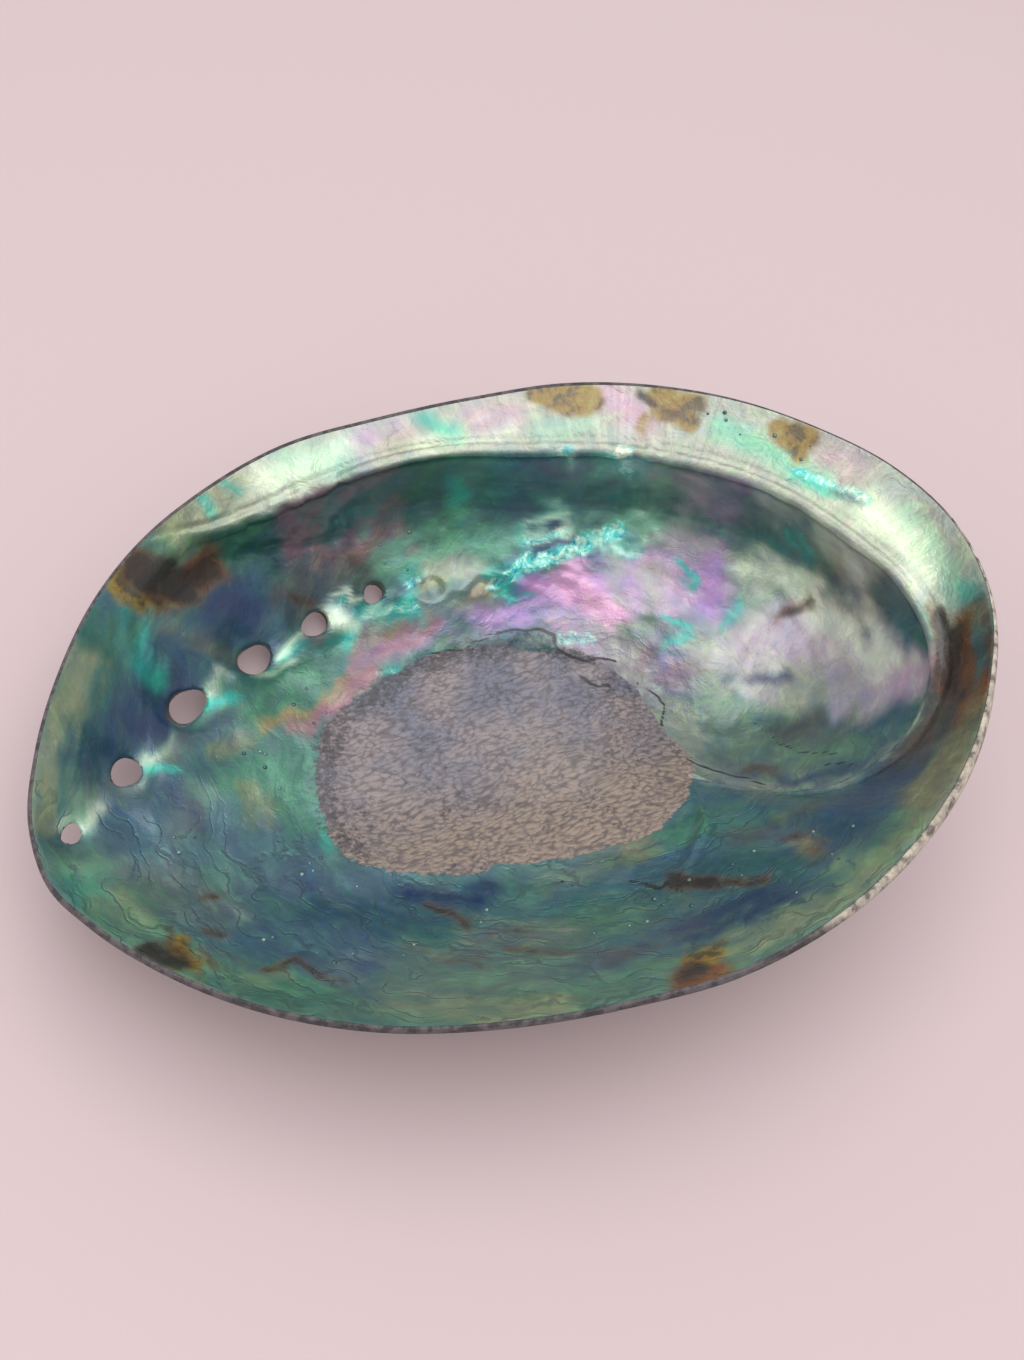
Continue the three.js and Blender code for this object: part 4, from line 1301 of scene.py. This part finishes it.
        pitted = b.relief(b.noise(place, 1.1, 4, 0.7), 0.1, beaten)
        rough = b.relief(b.math("MULTIPLY", b.math("SUBTRACT", packed, 0.5), scar_share), -0.6, pitted)
        b.feed(rough, b.shader.inputs["Normal"])
        return b.material


@dataclass(frozen=True)
class CrustFinish:
    """The dull outside: brown spiral cords, with a grey and cream crust on the older part."""

    name: str
    is_lip: bool

    def material(self) -> bpy.types.Material:
        """Build the material."""
        b = Board(self.name)
        place = b.field("place").outputs["Vector"]
        flat = b.node("ShaderNodeSeparateXYZ", {0: b.vector("SUBTRACT", place, (60.0, -13.0, 0.0))})
        reach = b.math("POWER", b.math("ADD", b.math("MULTIPLY", flat.outputs[0], flat.outputs[0]),
                                       b.math("MULTIPLY", flat.outputs[1], flat.outputs[1])), 0.5)
        turn = b.math("ARCTAN2", flat.outputs[1], flat.outputs[0])
        wobble = b.noise(place, 14, 3)
        cord = b.math("MULTIPLY_ADD", b.math("LOGARITHM", b.math("MAXIMUM", reach, 2.0), math.e),
                      28.0 * TURN, b.math("MULTIPLY", turn, -74.0))
        cords = b.math("MULTIPLY_ADD", b.math("SINE", b.math("MULTIPLY_ADD", wobble, 9.0, cord)),
                       0.5, 0.5)
        lines = b.noise(b.vector("ADD", b.node("ShaderNodeCombineXYZ", {
            0: b.math("MULTIPLY", turn, 60.0), 1: b.math("MULTIPLY", reach, 0.12), 2: 0.0
        }).outputs[0], (0.0, 0.0, 0.0)), 1.6, 4, 0.65)
        blotch = b.noise(place, 9, 5, 0.65)
        skin = b.ramp(b.math("MULTIPLY_ADD", lines, 0.5, b.math("MULTIPLY", blotch, 0.5)), (
            (0.36, tint(58, 42, 34)), (0.47, tint(96, 66, 48)), (0.55, tint(124, 92, 66)),
            (0.64, tint(104, 104, 76))))
        skin = b.blend(b.math("MULTIPLY", cords, 0.35), skin, tint(70, 52, 44))
        chalk = b.ramp(b.noise(place, 8, 6, 0.68, 0.6), (
            (0.36, tint(112, 92, 82)), (0.46, tint(150, 132, 118)), (0.54, tint(186, 172, 154)),
            (0.64, tint(172, 136, 132))))
        chalk = b.blend(b.spread(b.noise(place, 2.2, 5, 0.75), 0.54, 0.68, 0, 0.5), chalk, tint(92, 74, 64))
        crusted = b.math("MULTIPLY_ADD", b.math("SUBTRACT", blotch, 0.5), 3.2,
                         b.field("crusted").outputs["Fac"])
        colour = b.blend(b.spread(crusted, 0.15, 1.05, 0, 0.92), skin, chalk)
        pale = b.field("pale_lip").outputs["Fac"]
        if self.is_lip:
            horn = b.ramp(b.noise(place, 2.5, 4, 0.6), ((0.4, tint(44, 42, 46)), (0.6, tint(84, 78, 80))))
            cream = b.ramp(b.noise(place, 2.5, 4, 0.6), (
                (0.38, tint(96, 90, 84)), (0.5, tint(160, 152, 138)), (0.62, tint(190, 180, 162))))
            colour = b.blend(b.spread(pale, 0.3, 0.7), horn, cream)
        b.feed(colour, b.shader.inputs["Base Color"])
        b.shader.inputs["Roughness"].default_value = 0.5 if self.is_lip else 0.82
        ribbed = b.relief(cords, 0.06 if self.is_lip else 0.55)
        grown = b.relief(lines, 0.5, ribbed)
        lumpy = b.relief(b.noise(place, 1.5, 5, 0.7), 0.5, grown)
        b.feed(lumpy, b.shader.inputs["Normal"])
        return b.material


@dataclass(frozen=True)
class GrainFinish:
    """Chalky grains on the crust, or glossy blisters on the nacre."""

    name: str
    dark: Colour
    light: Colour
    roughness: float
    metal: float

    def material(self) -> bpy.types.Material:
        """Build the material."""
        b = Board(self.name)
        spot = b.node("ShaderNodeTexCoord", {}).outputs["Object"]
        colour = b.ramp(b.noise(spot, 3 * MM, 4, 0.6), ((0.38, self.dark), (0.62, self.light)))
        b.feed(colour, b.shader.inputs["Base Color"])
        b.shader.inputs["Roughness"].default_value = self.roughness
        b.shader.inputs["Metallic"].default_value = self.metal
        b.feed(b.relief(b.noise(spot, 0.7 * MM, 3), 0.15), b.shader.inputs["Normal"])
        return b.material


# ---- floor, light and camera -------------------------------------------------------------

@dataclass
class Studio:
    """A plain pale floor, soft lights and the camera."""

    body: ShellBody
    eye: tuple[float, float, float] = (-49.0, -117.7, 206.7)
    aim: tuple[float, float, float] = (-3.05, -2.34, 0)
    across: float = 42
    floor_side: float = 30
    floor_tint: Colour = tint(186, 168, 170)
    sky: Colour = (0.95, 0.92, 0.93)
    sky_strength: float = 0.78
    lamps: Sequence[tuple[str, tuple[float, float, float], float, float]] = (
        ("overhead", (0.14, 0.12, 1.25), 1.2, 10.5), ("side", (-0.8, -0.1, 0.8), 0.6, 2.6),
        ("front", (0.1, -0.8, 1.2), 1.0, 5))

    def lean(self) -> tuple[Matrix, Vector]:
        """The turn and the shift that bring the aperture frame to rest."""
        turn = (Matrix.Rotation(math.radians(self.body.lean_y), 3, "Y")
                @ Matrix.Rotation(math.radians(self.body.lean_x), 3, "X"))
        return turn, Vector(self.body.shift)

    def camera(self) -> None:
        """Place the camera above the front of the bowl."""
        turn, shift = self.lean()
        eye, aim = turn @ Vector(self.eye) + shift, turn @ Vector(self.aim) + shift
        back = (eye - aim).normalized()
        right = (turn @ Vector((0, 0, 1))).cross(back).normalized()
        data = bpy.data.cameras.new("camera")
        data.sensor_fit = "HORIZONTAL"
        data.angle_x = math.radians(self.across)
        data.clip_start, data.clip_end = 0.01, 20
        camera = link(bpy.data.objects.new("camera", data))
        frame_turn = Matrix((right, back.cross(right), back)).transposed().to_4x4()
        camera.matrix_world = Matrix.Translation(eye * MM) @ frame_turn
        bpy.context.scene.camera = camera

    def lamp(self, name: str, at: tuple[float, float, float], size: float, power: float,
             colour: Colour = (1, 1, 1)) -> None:
        """A soft square lamp that faces the shell.

        Args:
            name: The lamp's name.
            at: Where it hangs, in metres.
            size: Its side, in metres.
            power: Its power, in watts.
            colour: Its colour.
        """
        data = bpy.data.lights.new(name, "AREA")
        data.shape, data.size, data.energy, data.color = "SQUARE", size, power, colour
        lamp = link(bpy.data.objects.new(name, data))
        lamp.location = at
        lamp.rotation_euler = (Vector(at) - Vector((0, 0, 0.03))).to_track_quat("Z", "Y").to_euler()

    def build(self) -> None:
        """Make the floor, the lights and the camera."""
        bpy.ops.mesh.primitive_plane_add(size=self.floor_side, location=(0, 0, -0.0002))
        floor = bpy.context.object
        floor.name = "floor"
        b = Board("pale_floor")
        b.shader.inputs["Base Color"].default_value = (*self.floor_tint, 1)
        b.shader.inputs["Roughness"].default_value = 0.7
        floor.data.materials.append(b.material)
        world = bpy.data.worlds.new("studio")
        world.use_nodes = True
        background = world.node_tree.nodes["Background"]
        background.inputs[0].default_value = (*self.sky, 1)
        background.inputs[1].default_value = self.sky_strength
        bpy.context.scene.world = world
        for name, at, size, power in self.lamps:
            self.lamp(name, at, size, power)
        bpy.context.scene.view_settings.view_transform = "Standard"
        self.camera()


# ---- the build ---------------------------------------------------------------------------

def dress(shell: bpy.types.Object) -> list[bpy.types.Object]:
    """Give the shell its finishes and grow the grains and blisters on it.

    Args:
        shell: The shell.

    Returns:
        The grains and the blisters.
    """
    finishes = {
        Region.NACRE: NacreFinish().material(),
        Region.LIP: CrustFinish("lip", True).material(),
        Region.CRUST: CrustFinish("outer_crust", False).material(),
        Region.GRANULE: GrainFinish("chalky_grains", tint(120, 100, 90), tint(206, 196, 180), 0.85,
                                    0.0).material(),
        Region.BLISTER: GrainFinish("nacre_blisters", tint(50, 84, 92), tint(116, 140, 138), 0.3,
                                    0.5).material()}
    for region in (Region.NACRE, Region.LIP, Region.CRUST):
        shell.data.materials.append(finishes[region])
    return [Grains("blisters", "blistered", 30000, 0.2, 0.55, 0.7, 3).grow_on(
                shell, finishes[Region.BLISTER]),
            Grains("crust_grains", "grained", 90000, 0.2, 0.5, 0.8, 5).grow_on(
                shell, finishes[Region.GRANULE])]


def main() -> None:
    """Build the shell, dress it, and set up floor, light and camera."""
    body = ShellBody(ShellForm())
    shell = body.build()
    grains = dress(shell)
    for piece in (shell, *grains):
        LOG.info("%s: %d faces", piece.name, len(piece.data.polygons))
        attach(piece, "root")
    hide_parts("abalone_shell")
    Studio(body).build()


if __name__ == "__main__":
    logging.basicConfig(level=logging.INFO)
    main()
